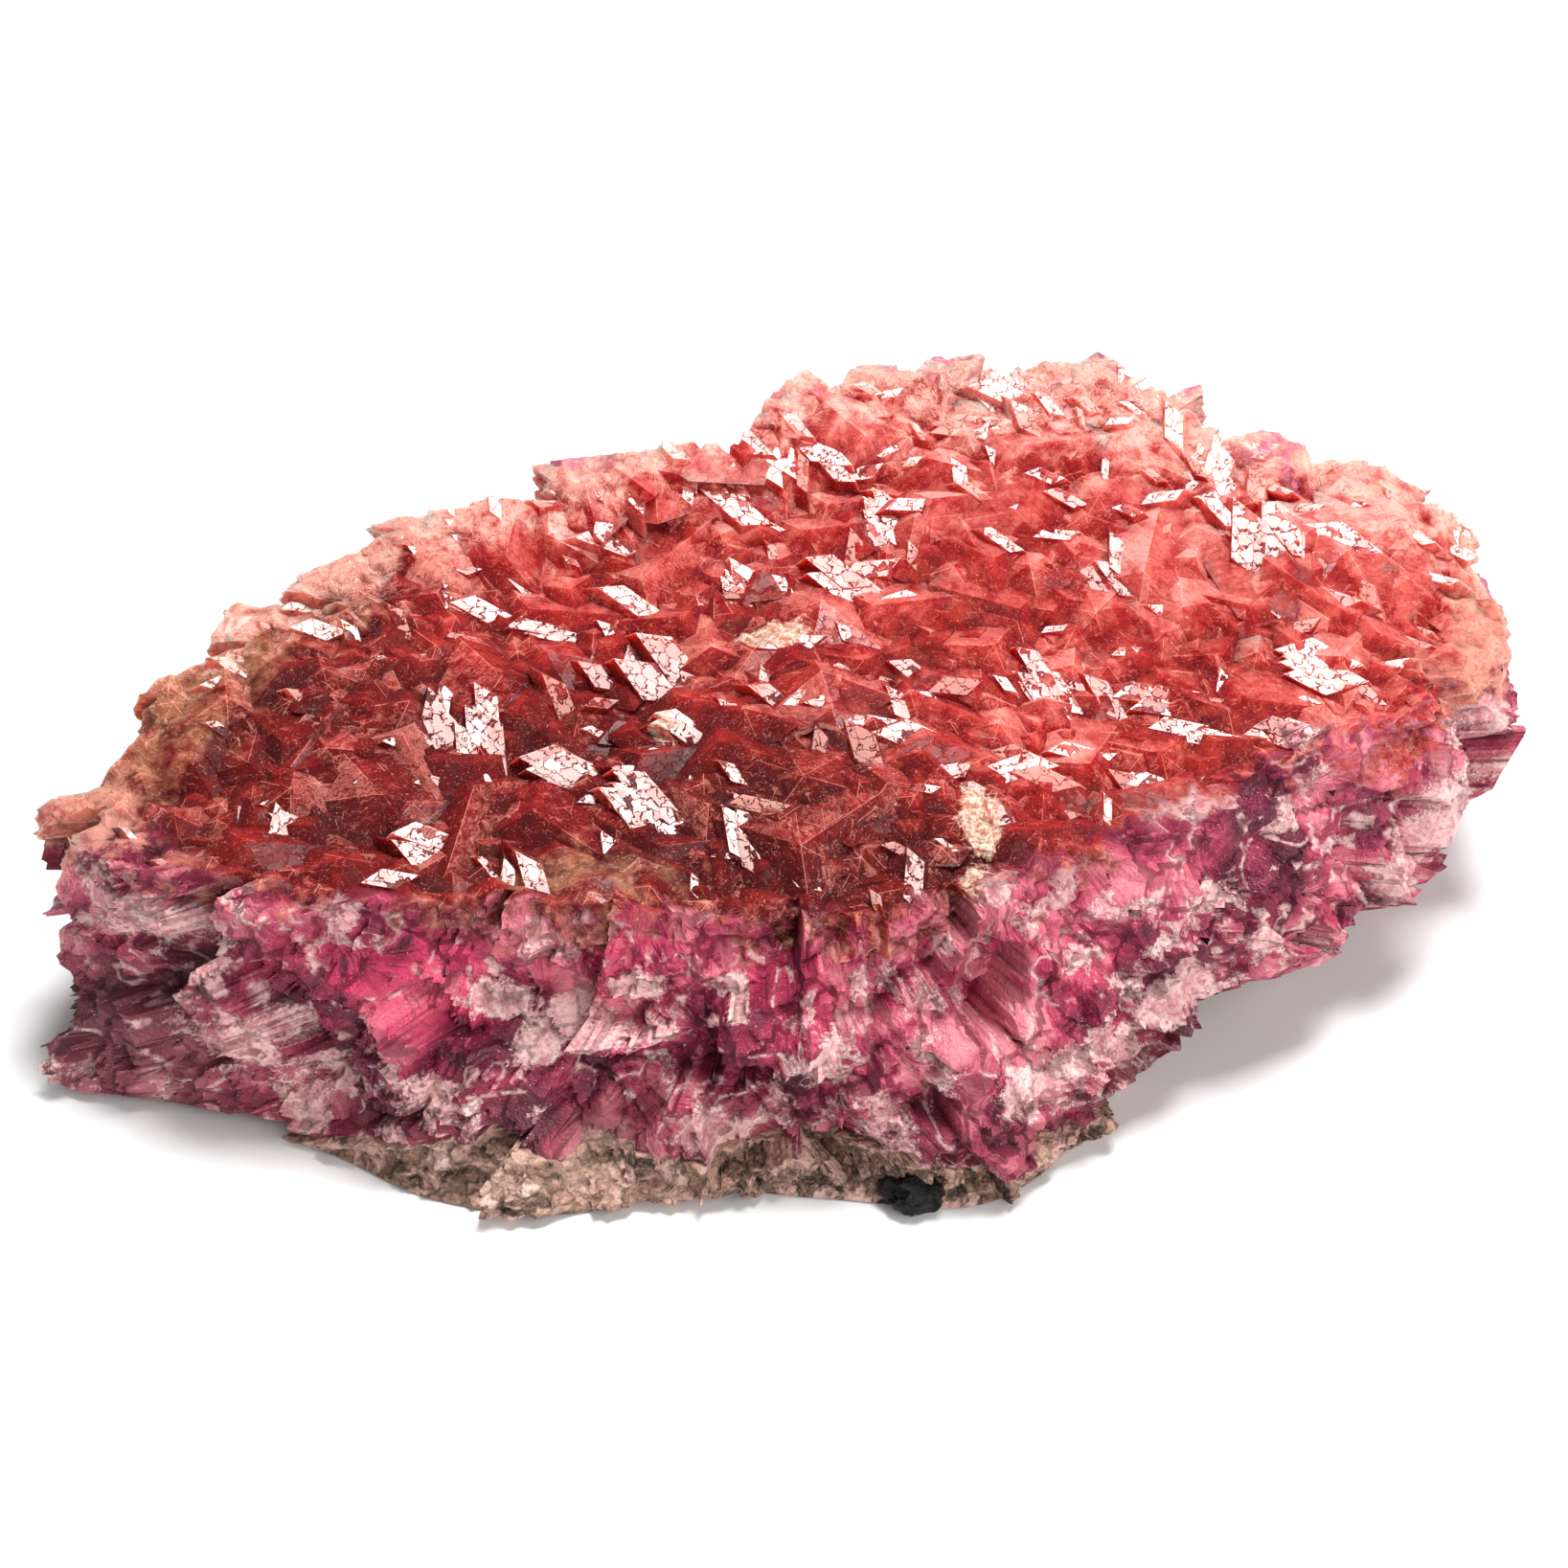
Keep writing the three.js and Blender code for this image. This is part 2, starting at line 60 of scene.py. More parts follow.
# The outline has the same stations as the solids, counter-clockwise from the left tip along the front. Each
# holds a point of the lip of the crystal face, of the waist and the hem of the broken side, and of the foot.
STATIONS = np.array([
    [[-64, -16, 25], [-67, -18, 17], [-64, -20, 10], [-66, -21, 0]],
    [[-59, -23, 26], [-66, -22, 14], [-65, -24, 5], [-68, -26, 0]],
    [[-50, -28, 27], [-53, -28, 14], [-54, -28, 6], [-55, -28, 0]],
    [[-38, -30, 27], [-41, -32, 16], [-42, -32, 8], [-42, -33, 0]],
    [[-28, -30, 27], [-29, -34, 16], [-31, -35, 9], [-32, -39, 0]],
    [[-18, -31, 27], [-18, -35, 16], [-20, -36, 9], [-20, -41, 0]],
    [[-7, -31, 26], [-7, -36, 16], [-8, -36, 9], [-8, -38, 0]],
    [[5, -32, 26], [4, -36, 16], [4, -38, 8], [4, -39, 0]],
    [[16, -30, 27], [16, -34, 16], [17, -38, 7], [17, -40, 0]],
    [[27, -25, 28], [27, -30, 16], [27, -33, 7], [25, -34, 0]],
    [[37, -20, 28], [37, -25, 17], [36, -26, 8], [29, -25, 0]],
    [[46, -15, 28], [47, -19, 18], [45, -19, 10], [34, -15, 0]],
    [[55, -7, 29], [57, -11, 19], [56, -12, 12], [40, -7, 0]],
    [[62, 1, 29], [65, -2, 21], [64, 0, 15], [44, 1, 0]],
    [[68, 11, 28], [70, 10, 21], [67, 11, 14], [48, 9, 0]],
    [[66, 20, 32], [67, 22, 22], [62, 22, 12], [47, 17, 0]],
    [[56, 24, 34], [57, 27, 22], [53, 27, 10], [41, 24, 0]],
    [[46, 26, 37], [47, 30, 23], [44, 32, 9], [35, 29, 0]],
    [[38, 30, 40], [38, 34, 24], [35, 35, 8], [28, 32, 0]],
    [[29, 33, 41], [29, 37, 24], [27, 37, 7], [22, 34, 0]],
    [[18, 33, 41], [17, 37, 24], [16, 37, 6], [14, 35, 0]],
    [[6, 29, 42], [6, 34, 24], [5, 35, 6], [4, 33, 0]],
    [[-5, 24, 41], [-5, 29, 23], [-6, 31, 6], [-6, 30, 0]],
    [[-17, 19, 39], [-17, 25, 22], [-18, 27, 6], [-18, 26, 0]],
    [[-29, 17, 36], [-30, 22, 20], [-30, 23, 5], [-30, 22, 0]],
    [[-41, 13, 33], [-43, 17, 18], [-43, 18, 5], [-42, 17, 0]],
    [[-51, 5, 31], [-54, 9, 16], [-54, 10, 4], [-53, 9, 0]],
    [[-59, -4, 29], [-62, -3, 15], [-62, -2, 4], [-61, -3, 0]],
], float)
CENTRE = np.array([0.0, -1.0])
# Broad round swells of the crystal face: place in plan, radius and rise
SWELLS = np.array([
    [22, 24, 15, 1.5], [-22, 4, 15, -2.5], [-42, -8, 12, 1.5],
    [0, -16, 14, 1.5], [33, -2, 14, -2.5], [55, 10, 10, 1.5],
], float)
TURN = 2 * math.pi


def share(index, salt):
    """A repeatable random share for whole numbers, another one for each salt: what follows the point of a
    large multiple of a sine."""
    wave = np.sin(np.asarray(index) * 12.9898 + salt * 78.233) * 43758.5453
    return wave - np.floor(wave)


def smooth(x):
    """Eases from 0 to 1: three squares less two cubes."""
    s = np.clip(x, 0, 1)
    return s * s * (3 - 2 * s)


def along(line, t):
    """Point at share t of the way round one line of stations: a closed Catmull-Rom curve, a cubic blend of
    the four stations nearest to t."""
    points = STATIONS[:, line]
    at = (np.asarray(t) % 1) * len(points)
    k = np.floor(at).astype(int)
    w = (at - k)[..., None]
    before, start, end, after = (points[(k + n) % len(points)] for n in (-1, 0, 1, 2))
    leave, arrive = (end - before) / 2, (after - start) / 2
    return (
        (2 * start - 2 * end + leave + arrive) * w**3
        + (3 * end - 3 * start - 2 * leave - arrive) * w**2
        + leave * w
        + start
    )


def side_point(t, row):
    """Point on the broken side: the straight blend of the two station lines that row lies between."""
    t, row = np.broadcast_arrays(np.asarray(t, float), np.asarray(row, float))
    k = np.clip(np.floor(row).astype(int), 0, 2)
    lines = np.stack([along(n, t) for n in range(4)])
    upper, lower = (np.take_along_axis(lines, k[None, ..., None] + n, 0)[0] for n in (0, 1))
    return upper + (lower - upper) * (row - k)[..., None]


def beside(*parts):
    """Arrays side by side, as the last axis of one."""
    return np.stack(parts, -1)


def unit(way):
    """A direction with length 1."""
    return way / np.linalg.norm(way, axis=-1, keepdims=True)


def outwards(p):
    """Level direction from the slab's centre to a point."""
    out = np.zeros_like(p)
    out[..., :2] = p[..., :2] - CENTRE
    return unit(out)


LIP_POINTS = 280
lip = along(0, np.arange(LIP_POINTS) / LIP_POINTS)
lip_away = lip[:, :2] - CENTRE
lip_angle = np.arctan2(lip_away[:, 1], lip_away[:, 0])
lip_reach = np.linalg.norm(lip_away, axis=1)


def at_lip(values, x, y):
    """A value of the lip where it lies in the same direction from the centre as a plan point."""
    return np.interp(np.arctan2(y - CENTRE[1], x - CENTRE[0]), lip_angle, values, period=TURN)


def inward(x, y):
    """How far in from the lip a plan point lies: 0 on the lip, 1 at the centre."""
    return 1 - np.hypot(x - CENTRE[0], y - CENTRE[1]) / at_lip(lip_reach, x, y)


def top_height(x, y):
    """Height of the crystal face: a plane tilted to the front with broad round swells, eased down to the
    height of the lip in the outer two fifths."""
    edge = at_lip(lip[:, 2], x, y)
    crown = 32 + 0.02 * x + 0.2 * y
    for place_x, place_y, radius, rise in SWELLS:
        crown = crown + rise * np.exp(-((x - place_x) ** 2 + (y - place_y) ** 2) / radius**2)
    return edge + (crown - edge) * smooth(inward(x, y) / 0.4)


def top_normal(x, y):
    """Outward direction of the crystal face, from its slope over 4 mm."""
    slope_x = (top_height(x + 2, y) - top_height(x - 2, y)) / 4
    slope_y = (top_height(x, y + 2) - top_height(x, y - 2)) / 4
    return unit(beside(-slope_x, -slope_y, np.ones_like(slope_x)))


def nearest_cell(p, cell):
    """The nearest of the jittered centres of a cubic lattice of cells, and the number of its cell."""
    base = np.floor(p / cell)
    nearest = np.full(p.shape[:-1], np.inf)
    centre, number = np.zeros_like(p), np.zeros(p.shape[:-1])
    for neighbour in np.ndindex(3, 3, 3):
        home = base + (np.array(neighbour) - 1)
        key = home @ np.array([1, 57, 113])
        place = (home + beside(*(share(key, 1 + n) for n in range(3)))) * cell
        distance = np.linalg.norm(p - place, axis=-1)
        closer = distance < nearest
        nearest = np.where(closer, distance, nearest)
        centre = np.where(closer[..., None], place, centre)
        number = np.where(closer, key, number)
    return centre, number


def facet_offset(p, cell=9.0, tilt=0.55, step=1.4):
    """How far a cleavage facet stands out: each point takes the plane of the nearest cell centre, its own
    step plus a lean times the way from that centre."""
    centre, number = nearest_cell(p, cell)
    away = p - centre
    lean = sum(away[..., n] * (share(number, 4 + n) - 0.5) for n in range(3))
    return 2 * tilt * lean + step * (2 * share(number, 7) - 1)


def value_noise(p, cell, salt):
    """Smooth random hills from 0 to 1: shares at the corners of a cubic lattice, blended in three
    directions by the eased place inside the cell."""
    base = np.floor(p / cell)
    w = smooth(p / cell - base)
    total = 0
    for corner in np.ndindex(2, 2, 2):
        key = (base + corner) @ np.array([1, 57, 113])
        weight = np.prod(np.where(np.array(corner) == 1, w, 1 - w), axis=-1)
        total = total + weight * share(key, salt)
    return total


def layered_noise(p, cell, salt, layers=4):
    """Smooth hills with finer and lower ones on them, each layer half the size of the one before, about a
    half."""
    total, height = 0, 0
    for k in range(layers):
        total = total + value_noise(p + 19.7 * k, cell / 2**k, salt + k) * 0.6**k
        height += 0.6**k
    return total / height


def drift(p, cell, salt):
    """A shift in three directions that changes smoothly from place to place, half a unit at most in each."""
    return beside(*(value_noise(p, cell, salt + n) - 0.5 for n in range(3)))


def flake_share(p):
    """Where the broken side still carries flakes of the next layer: 1 on a flake, 0 beside it, with a steep
    edge that follows layered noise."""
    return smooth((layered_noise(p * [1, 1, 1.3], 7.0, 81, 5) - 0.53) / 0.035)


def broken_offset(p, cliff):
    """How far the broken side stands out: large cleavage facets that run straight up from the cliff point,
    finer facets whose borders wander because the point is first shifted by smooth hills, flakes, and a
    grain."""
    wander = drift(p, 2.6, 61)
    middle = facet_offset(p + 2.4 * wander + 31.7, 4.2, 0.3, 0.25)
    fine = facet_offset(p + 1.5 * wander + 77.3, 1.7, 0.4, 0.08)
    grain = 0.3 * (layered_noise(p, 1.5, 91, 2) - 0.5)
    return facet_offset(cliff + 0.9 * wander) + middle + fine + grain + 0.45 * flake_share(p) - 0.5


def skin_faces(rings, columns):
    """Quads between neighbouring rings of points, and a fan of triangles to the pole at either end; the
    top pole is point 0 and the bottom pole is the last."""
    c = np.arange(columns)
    after, low = (c + 1) % columns, 1 + (rings - 1) * columns
    top = beside(0 * c, 1 + c, 1 + after)
    bottom = beside(low + c, 0 * c + low + columns, low + after)
    r = 1 + np.arange(rings - 1)[:, None] * columns
    quads = beside(r + c, r + columns + c, r + columns + after, r + after).reshape(-1, 4)
    return top.tolist() + bottom.tolist() + quads.tolist()


def slab_skin(columns, top_rings, side_rows, rise, offset, calm_foot=0.6):
    """Points and faces of the closed slab: rings from the centre of the crystal face to the lip, rows down
    the side pushed out by an offset, and rings back to the centre of the base. The crystal face is raised
    or sunk by a rise. A row above the lip carries the side on upwards, with the offset of a cliff point
    just below the lip."""
    t = np.arange(columns) / columns
    edge = side_point(t, np.full(columns, float(side_rows[0])))[None, :, :2]
    part = (np.arange(1, top_rings) / top_rings)[:, None, None]
    plan = CENTRE + (edge - CENTRE) * part
    x, y = plan[..., 0], plan[..., 1]
    top = beside(x, y, top_height(x, y) + rise)
    row = np.asarray(side_rows, float)[:, None]
    side = side_point(t[None], row)
    calm = smooth((3 - row) / calm_foot)
    cliff = side_point(t[None], np.maximum(row, 0.3))
    side = side + outwards(side) * (offset(side, cliff) * calm)[..., None]
    foot = along(3, t)
    base = (foot * [0.5, 0.5, 0] + [0, -0.5, 0])[None]
    middle = np.array([[*CENTRE, float(top_height(*CENTRE)) + rise]])
    under = np.array([[*CENTRE, 0.0]])
    rings = np.concatenate([top, side, base])
    return np.concatenate([middle, rings.reshape(-1, 3), under]), skin_faces(len(rings), columns)


def read(items, name, kind=np.float32, width=1):
    """One value of every item of a mesh, or a row of several for each."""
    found = np.zeros(len(items) * width, kind)
    items.foreach_get(name, found)
    return found.reshape(-1, width) if width > 1 else found


def put_mesh(name, points, faces, uv=None, edge=9.0, tag=0):
    """A mesh from points in millimetres, with a number on every face, and on every corner flat coordinates
    and the distance to an edge of its face, which is far where none is given."""
    mesh = bpy.data.meshes.new(name)
    mesh.from_pydata((points * 0.001).tolist(), [], faces)
    numbers = mesh.attributes.new("growth", "INT", "FACE")
    numbers.data.foreach_set("value", np.full(len(faces), tag, np.int32))
    if uv is None:
        p = points[read(mesh.loops, "vertex_index", np.int32)]
        uv = beside(p[:, 0] + 0.6 * p[:, 1], p[:, 2] + 0.3 * p[:, 1])
    edges = np.zeros((len(mesh.loops), 2))
    edges[:, 0] = np.ravel(edge)
    for layer, values in (("facet", uv), ("edges", edges)):
        mesh.uv_layers.new(name=layer).data.foreach_set("uv", np.asarray(values, np.float32).ravel())
    return mesh


def put_object(name, data):
    """An object in the scene, at the origin."""
    thing = bpy.data.objects.new(name, data)
    bpy.context.scene.collection.objects.link(thing)
    return thing


def finished(thing):
    """The mesh of an object with its modifiers."""
    return bpy.data.meshes.new_from_object(thing.evaluated_get(bpy.context.evaluated_depsgraph_get()))


# How each size of crystal grows: its spacing, the range of its radius, of its steepness and of how far its
# peak stands above the crystal face, and how much longer than wide it may be
DRUSE = dict(spacing=6.6, size=(6.5, 9.5), steep=(0.28, 0.5), peak=(0.5, 1.8), long=0.4)
RIM = dict(spacing=7.0, size=(4.5, 6.5), steep=(0.3, 0.5), peak=(0.4, 1.1), long=0.2)
FILL = dict(spacing=3.4, size=(3.2, 5.0), steep=(0.3, 0.55), peak=(-0.2, 1.3), long=0.5)
GRAIN = dict(spacing=2.1, size=(1.7, 2.9), steep=(0.3, 0.6), peak=(-0.3, 1.0), long=0.6)
# The direction of most lengths in degrees, the share of dog-tooth points, and where a mirroring face looks
LENGTH_RUN = -45.0
TOOTHED_SHARE = 0.45
MIRROR = np.array([0.088, -0.383, 0.92])
# The large flat crystals: place in plan, length, width, and the direction of the length in degrees
BRIGHT_CRYSTALS = np.array([
    [-11, -3, 9.6, 5.3, -57], [-9, -10, 5.5, 2, -37], [-20, -14, 7.3, 3.5, -26], [-13, -19, 8.6, 4.4, -52],
    [-31, 7, 5, 1.8, -76], [-22, 5, 6.3, 2.2, -9], [6, 7, 8.4, 3.5, -42], [9, 15, 6, 3.5, -81],
    [3, 22, 8.1, 2.7, -52], [-1, 21, 5.1, 2.9, -86], [-4, 8, 4.5, 3.5, -81], [-9, 18, 4.3, 1.6, -94],
    [-5, 18, 4.9, 1.4, -62], [-17, 15, 4.6, 1.8, -94], [-30, 14, 6.2, 2.1, -52], [-32, -22, 5.4, 2.9, -20],
    [-45, -20, 6.1, 2.7, -99], [-61, -29, 6.1, 3.6, -108], [24, -4, 7.8, 3.3, -62], [21, 29, 6.1, 4.5, -99],
    [45, 11, 9.2, 5.4, -94], [49, -1, 6, 4.8, -31], [35, -5, 7.7, 2.6, -9], [37, -9, 6.3, 2.2, -14],
    [40, 21, 6.1, 4.1, -108], [33, 31, 3.8, 3.9, -20], [65, 20, 5.1, 3.6, -99], [3, -8, 5, 3.1, -3],
    [8, -10, 4.5, 1.8, -9], [14, -15, 4.6, 1.6, -166], [20, -14, 5.6, 2, -156], [-4, -22, 7.1, 2, -81],
    [33, -15, 4.5, 1.5, -20], [46, -9, 5.4, 2.5, -20], [-14, 1, 5.1, 1.4, -103], [-28, -10, 10, 3.6, -84],
    [-32, -9, 9, 2.6, -98],
], float)
ZIGZAG_FACES = np.array(
    [[0, 2 + k, 2 + (k + 1) % 6] for k in range(6)] + [[1, 2 + (k + 1) % 6, 2 + k] for k in range(6)]
)
BLOCK_FACES = np.array([[4, 5, 7, 6], [0, 2, 3, 1], [0, 1, 5, 4], [2, 6, 7, 3], [0, 4, 6, 2], [1, 3, 7, 5]])


def zigzag_points(radius, height, zigzag, stretch):
    """Corners of many crystals about their three-fold axis: two apexes and a ring of six whose heights
    alternate. A third of the height in the zigzag gives a rhombohedron, an eighth a dog-tooth."""
    k = np.arange(6)
    ring_x = radius[:, None] * np.cos(k * TURN / 6) * stretch[:, None]
    ring_y = radius[:, None] * np.sin(k * TURN / 6)
    ring_z = np.where(k % 2, -1, 1) * (zigzag * height)[:, None]
    nought = np.zeros_like(height)
    apexes = np.stack([beside(nought, nought, height), beside(nought, nought, -height)], 1)
    return np.concatenate([apexes, beside(ring_x, ring_y, ring_z)], 1)


def block_points(length, width, depth, skew, spread):
    """Corners of many skewed blocks: the broad face lies in the plane z = 0, and the root is wider."""
    corner = np.array(list(np.ndindex(2, 2, 2)), float)[:, [2, 1, 0]]
    grow = np.where(corner[:, 2] > 0, 1.0, spread)
    y = (corner[:, 1] - 0.5) * grow * width[:, None]
    x = (corner[:, 0] - 0.5) * grow * length[:, None] + skew * y
    return beside(x, y, 0 * x + (corner[:, 2] - 1) * depth)


def looking(way, run):
    """Axes of a crystal whose third looks a given way and whose first runs in a direction seen from above."""
    side = unit(np.array([1.0, 0, 0]) - way * way[..., :1])
    first = side * np.cos(run)[..., None] + np.cross(way, side) * np.sin(run)[..., None]
    return beside(first, np.cross(way, first), way)


def mirror_way(x, y):
    """Direction of a flat face that mirrors the light to a viewer at the height that the photograph has. Both
    are near the slab, so it turns a little from place to place."""
    return MIRROR - beside(0.002 * x, 0.0012 * y, 0 * x)


def between(ends, index, salt):
    """A repeatable random number between two ends."""
    return ends[0] + (ends[1] - ends[0]) * share(index, salt)


def leaning(way, most, index):
    """A direction that leans at random from a given one."""
    away = TURN * share(index, 12)
    aside = beside(np.cos(away), np.sin(away), share(index, 19) - 0.5)
    return unit(way + aside * (most * np.sqrt(share(index, 13)))[..., None])


def honeycomb(spacing, first, reach_x, reach_y, stride):
    """Plan places on a jittered honeycomb, with the number that each one keeps."""
    j, i = np.meshgrid(np.arange(-reach_y, reach_y + 1), np.arange(-reach_x, reach_x + 1), indexing="ij")
    i, j = i.ravel(), j.ravel()
    index = first + i + stride * j
    x = (i + np.where(j % 2 != 0, 0.5, 0) + 0.6 * (share(index, 21) - 0.5)) * spacing
    y = (0.866 * j + 0.6 * (share(index, 22) - 0.5)) * spacing
    return x, y, index


class Crystals:
    """Many crystals of one form: corners, faces, own axes, and the middle and size of each."""

    def __init__(self, points, faces, axes, place, size, tone):
        self.points = np.einsum("nij,nvj->nvi", axes, points) + place[:, None]
        self.faces, self.axes, self.place, self.size, self.tone = faces, axes, place, size, tone

    def flat_coordinates(self):
        """Millimetres on each face, from two directions in it that the crystal's own axes fix, shifted by a
        random amount for each crystal so that no two faces carry the same marks."""
        corner = self.points[:, self.faces]
        normal = unit(np.cross(corner[:, :, 1] - corner[:, :, 0], corner[:, :, 2] - corner[:, :, 0]))
        guide = (self.axes @ np.array([0.83, 0.2, 0.52]))[:, None]
        across = unit(guide - normal * (guide * normal).sum(-1, keepdims=True))
        up = np.cross(normal, across)
        local = corner - self.place[:, None, None]
        u = (local * across[:, :, None]).sum(-1)
        v = (local * up[:, :, None]).sum(-1)
        shift = 40 * beside(share(self.tone * 9973, 3), share(self.tone * 9973, 4))
        return beside(u, v) + shift[:, None, None]

    def edge_distance(self):
        """Millimetres from each corner of a face to the edge that joins its first two: twice the area over
        the edge's length, and nothing at those two."""
        corner = self.points[:, self.faces]
        first, last = corner[:, :, 1] - corner[:, :, 0], corner[:, :, -1] - corner[:, :, 0]
        away = np.linalg.norm(np.cross(first, last), axis=-1) / np.linalg.norm(first, axis=-1)
        return beside(0 * away, 0 * away, *[away] * (self.faces.shape[1] - 2))


def druse_crystals(x, y, index, kind):
    """Crystals that grow from the crystal face at plan places: low rhombohedra and six-sided points of
    random size, steepness, length and lean, the long ones mostly in one direction. They are rooted deep, so
    that only their upper faces show, and the flatter a crystal is the less it leans."""
    size, steepness = between(kind["size"], index, 11), between(kind["steep"], index, 15)
    toothed = share(index, 16) < TOOTHED_SHARE
    stretch = 1 + kind["long"] * share(index, 17)
    run = np.radians(LENGTH_RUN + 120 * (share(index, 14) - 0.5))
    axes = looking(leaning(top_normal(x, y), 0.45 * steepness, index), run)
    height = size * steepness
    place = beside(x, y, top_height(x, y) + between(kind["peak"], index, 18) - height)
    points = zigzag_points(size, height, np.where(toothed, 1 / 8, 1 / 3), stretch)
    return Crystals(points, ZIGZAG_FACES, axes, place, size, share(index, 30))


# The largest crystals stay in from the lip, and off the middles of the large flat ones
x, y, index = honeycomb(DRUSE["spacing"], 400, 13, 8, 31)
clear = np.hypot(x[:, None] - BRIGHT_CRYSTALS[:, 0], y[:, None] - BRIGHT_CRYSTALS[:, 1]).min(1)
kept = (inward(x, y) > 0.12) & (clear > 0.3 * DRUSE["spacing"])
main_druse = druse_crystals(x[kept], y[kept], index[kept], DRUSE)

# Evenly spaced places along the lip, just inside it
lip_share = np.arange(4001) / 4000
lip_length = np.linalg.norm(np.diff(along(0, lip_share), axis=0), axis=1)
lip_run = np.concatenate([[0], np.cumsum(lip_length)])
rim_count = round(lip_run[-1] / RIM["spacing"])
n = np.arange(rim_count)
rim_place = 0.96 * along(0, np.interp(n / rim_count * lip_run[-1], lip_run, lip_share))
rim_druse = druse_crystals(rim_place[:, 0], rim_place[:, 1], 1000 + n, RIM)

n = np.arange(len(BRIGHT_CRYSTALS))
bright_x, bright_y, length, width, run = BRIGHT_CRYSTALS.T
bright_axes = looking(leaning(mirror_way(bright_x, bright_y), 0.05, 700 + n), np.radians(run))
bright_place = beside(bright_x, bright_y, top_height(bright_x, bright_y) + 0.3 + 0.06 * length)
# Each flat crystal is a stack of four shorter blocks in parallel, so its outline is stepped
part = np.arange(4 * len(n))
of = part // 4
long, wide = length[of], width[of]
shift_x = np.array([0.0, -0.24, 0.26, 0.02])[part % 4] * long + 0.12 * wide * (share(part, 61) - 0.5)
shift_y = np.array([-0.1, 0.24, -0.02, 0.3])[part % 4] * wide + 0.3 * wide * (share(part, 62) - 0.5)
shift = beside(shift_x + 0.45 * shift_y, shift_y, 0.25 * (share(part, 63) - 0.5))
part_length, part_width = long * (0.5 + 0.25 * share(part, 64)), wide * (0.5 + 0.3 * share(part, 65))
bright_druse = Crystals(
    block_points(part_length, part_width, 2.0, 0.8, 1.25),
    BLOCK_FACES,
    bright_axes[of],
    bright_place[of] + np.einsum("nij,nj->ni", bright_axes[of], shift),
    long / 2,
    share(of, 31),
)

# Small flat crystals, more of them towards the back
x, y, index = honeycomb(4.6, 70000, 17, 12, 101)
kept = (inward(x, y) > 0.03) & (share(index, 23) < 0.6 + 0.3 * smooth((y - 4) / 15))
x, y, index = x[kept], y[kept], index[kept]
length = 1.8 + 3.8 * share(index, 11) ** 2
axes = looking(
    leaning(mirror_way(x, y), 0.14, index), np.radians(LENGTH_RUN + 110 * (share(index, 14) - 0.5))
)
spark_druse = Crystals(
    block_points(length, length * (0.22 + 0.34 * share(index, 15)), 1.5, 0.9, 1.6),
    BLOCK_FACES,
    axes,
    beside(x, y, top_height(x, y) + 0.1 + 0.9 * share(index, 18) + 0.7 * smooth((y - 4) / 14)),
    length / 2,
    share(index, 31),
)


def parallel_growths(parent, count, first, scales):
    """Smaller crystals in parallel on the upper faces of larger ones: the same corners, shrunk towards a
    random point of an upper face, so that their faces step up from it."""
    index = first + np.arange(len(parent.size) * count)
    of = np.repeat(np.arange(len(parent.size)), count)
    upper = np.minimum((share(index, 41) * 6).astype(int), 5)
    corner = parent.points[of[:, None], ZIGZAG_FACES[upper]]
    a, b = np.sqrt(share(index, 42)), share(index, 43)
    weight = beside(1 - a, a * (1 - b), a * b)
    point = (corner * weight[..., None]).sum(1)
    scale = between(scales, index, 44)
    shifted = (parent.points[of] - parent.place[of, None]) * scale[:, None, None]
    middle = point + (parent.place[of] - point) * (scale * (0.8 + 0.16 * share(index, 45)))[:, None]
    small = Crystals(
        shifted, ZIGZAG_FACES, np.broadcast_to(np.eye(3), (len(of), 3, 3)), middle, scale, share(index, 46)
    )
    small.axes = parent.axes[of]
    return small


main_steps = parallel_growths(main_druse, 5, 5000, (0.16, 0.4))


def filling(kind, first, reach_x, reach_y, stride, part, more_behind):
    """Small crystals between the large ones: a part of a honeycomb, and more of it towards the back."""
    x, y, index = honeycomb(kind["spacing"], first, reach_x, reach_y, stride)
    kept = (inward(x, y) > -0.05) & (share(index, 23) < part + more_behind * smooth((y - 8) / 10))
    return druse_crystals(x[kept], y[kept], index[kept], kind)


small_druse = filling(FILL, 20000, 26, 17, 67, 0.8, 0.2)
fine_druse = filling(GRAIN, 50000, 36, 24, 97, 0.65, 0.25)


def join(seed, groups):
    """Joins the crystals of several groups with a closed mesh into one closed mesh."""
    body = put_object("seed", seed)
    others = bpy.data.collections.new("others")
    for group in groups:
        flat, edge = group.flat_coordinates(), group.edge_distance()
        faces = group.faces.tolist()
        for k in range(len(group.points)):
            mesh = put_mesh("crystal", group.points[k], faces, flat[k], edge[k], group.first + k)
            others.objects.link(bpy.data.objects.new("crystal", mesh))
    modifier = body.modifiers.new("join", "BOOLEAN")
    modifier.operation, modifier.solver = "UNION", "MANIFOLD"
    modifier.operand_type, modifier.collection = "COLLECTION", others
    joined = finished(body)
    used = [body, *others.objects]
    bpy.data.batch_remove([others, *used, *(thing.data for thing in used)])
    return joined


# Places along the slab and the height of the rock there
ROCK_TOP = np.array([
    [-72, -56, -44, -36, -26, -17, -8, 5, 16, 26, 45, 72],
    [-3, -1, 1, 4, 6.5, 6, 4.5, 5.5, 3.5, 3.5, 5, 6],
])


def rock_top(x, y):
    """Height of the contact between host rock and calcite: straight runs between measured heights along the
    slab, with a gentle wave."""
    return np.interp(x, *ROCK_TOP) + 0.8 * np.sin(0.31 * x + 1) * np.cos(0.23 * y)


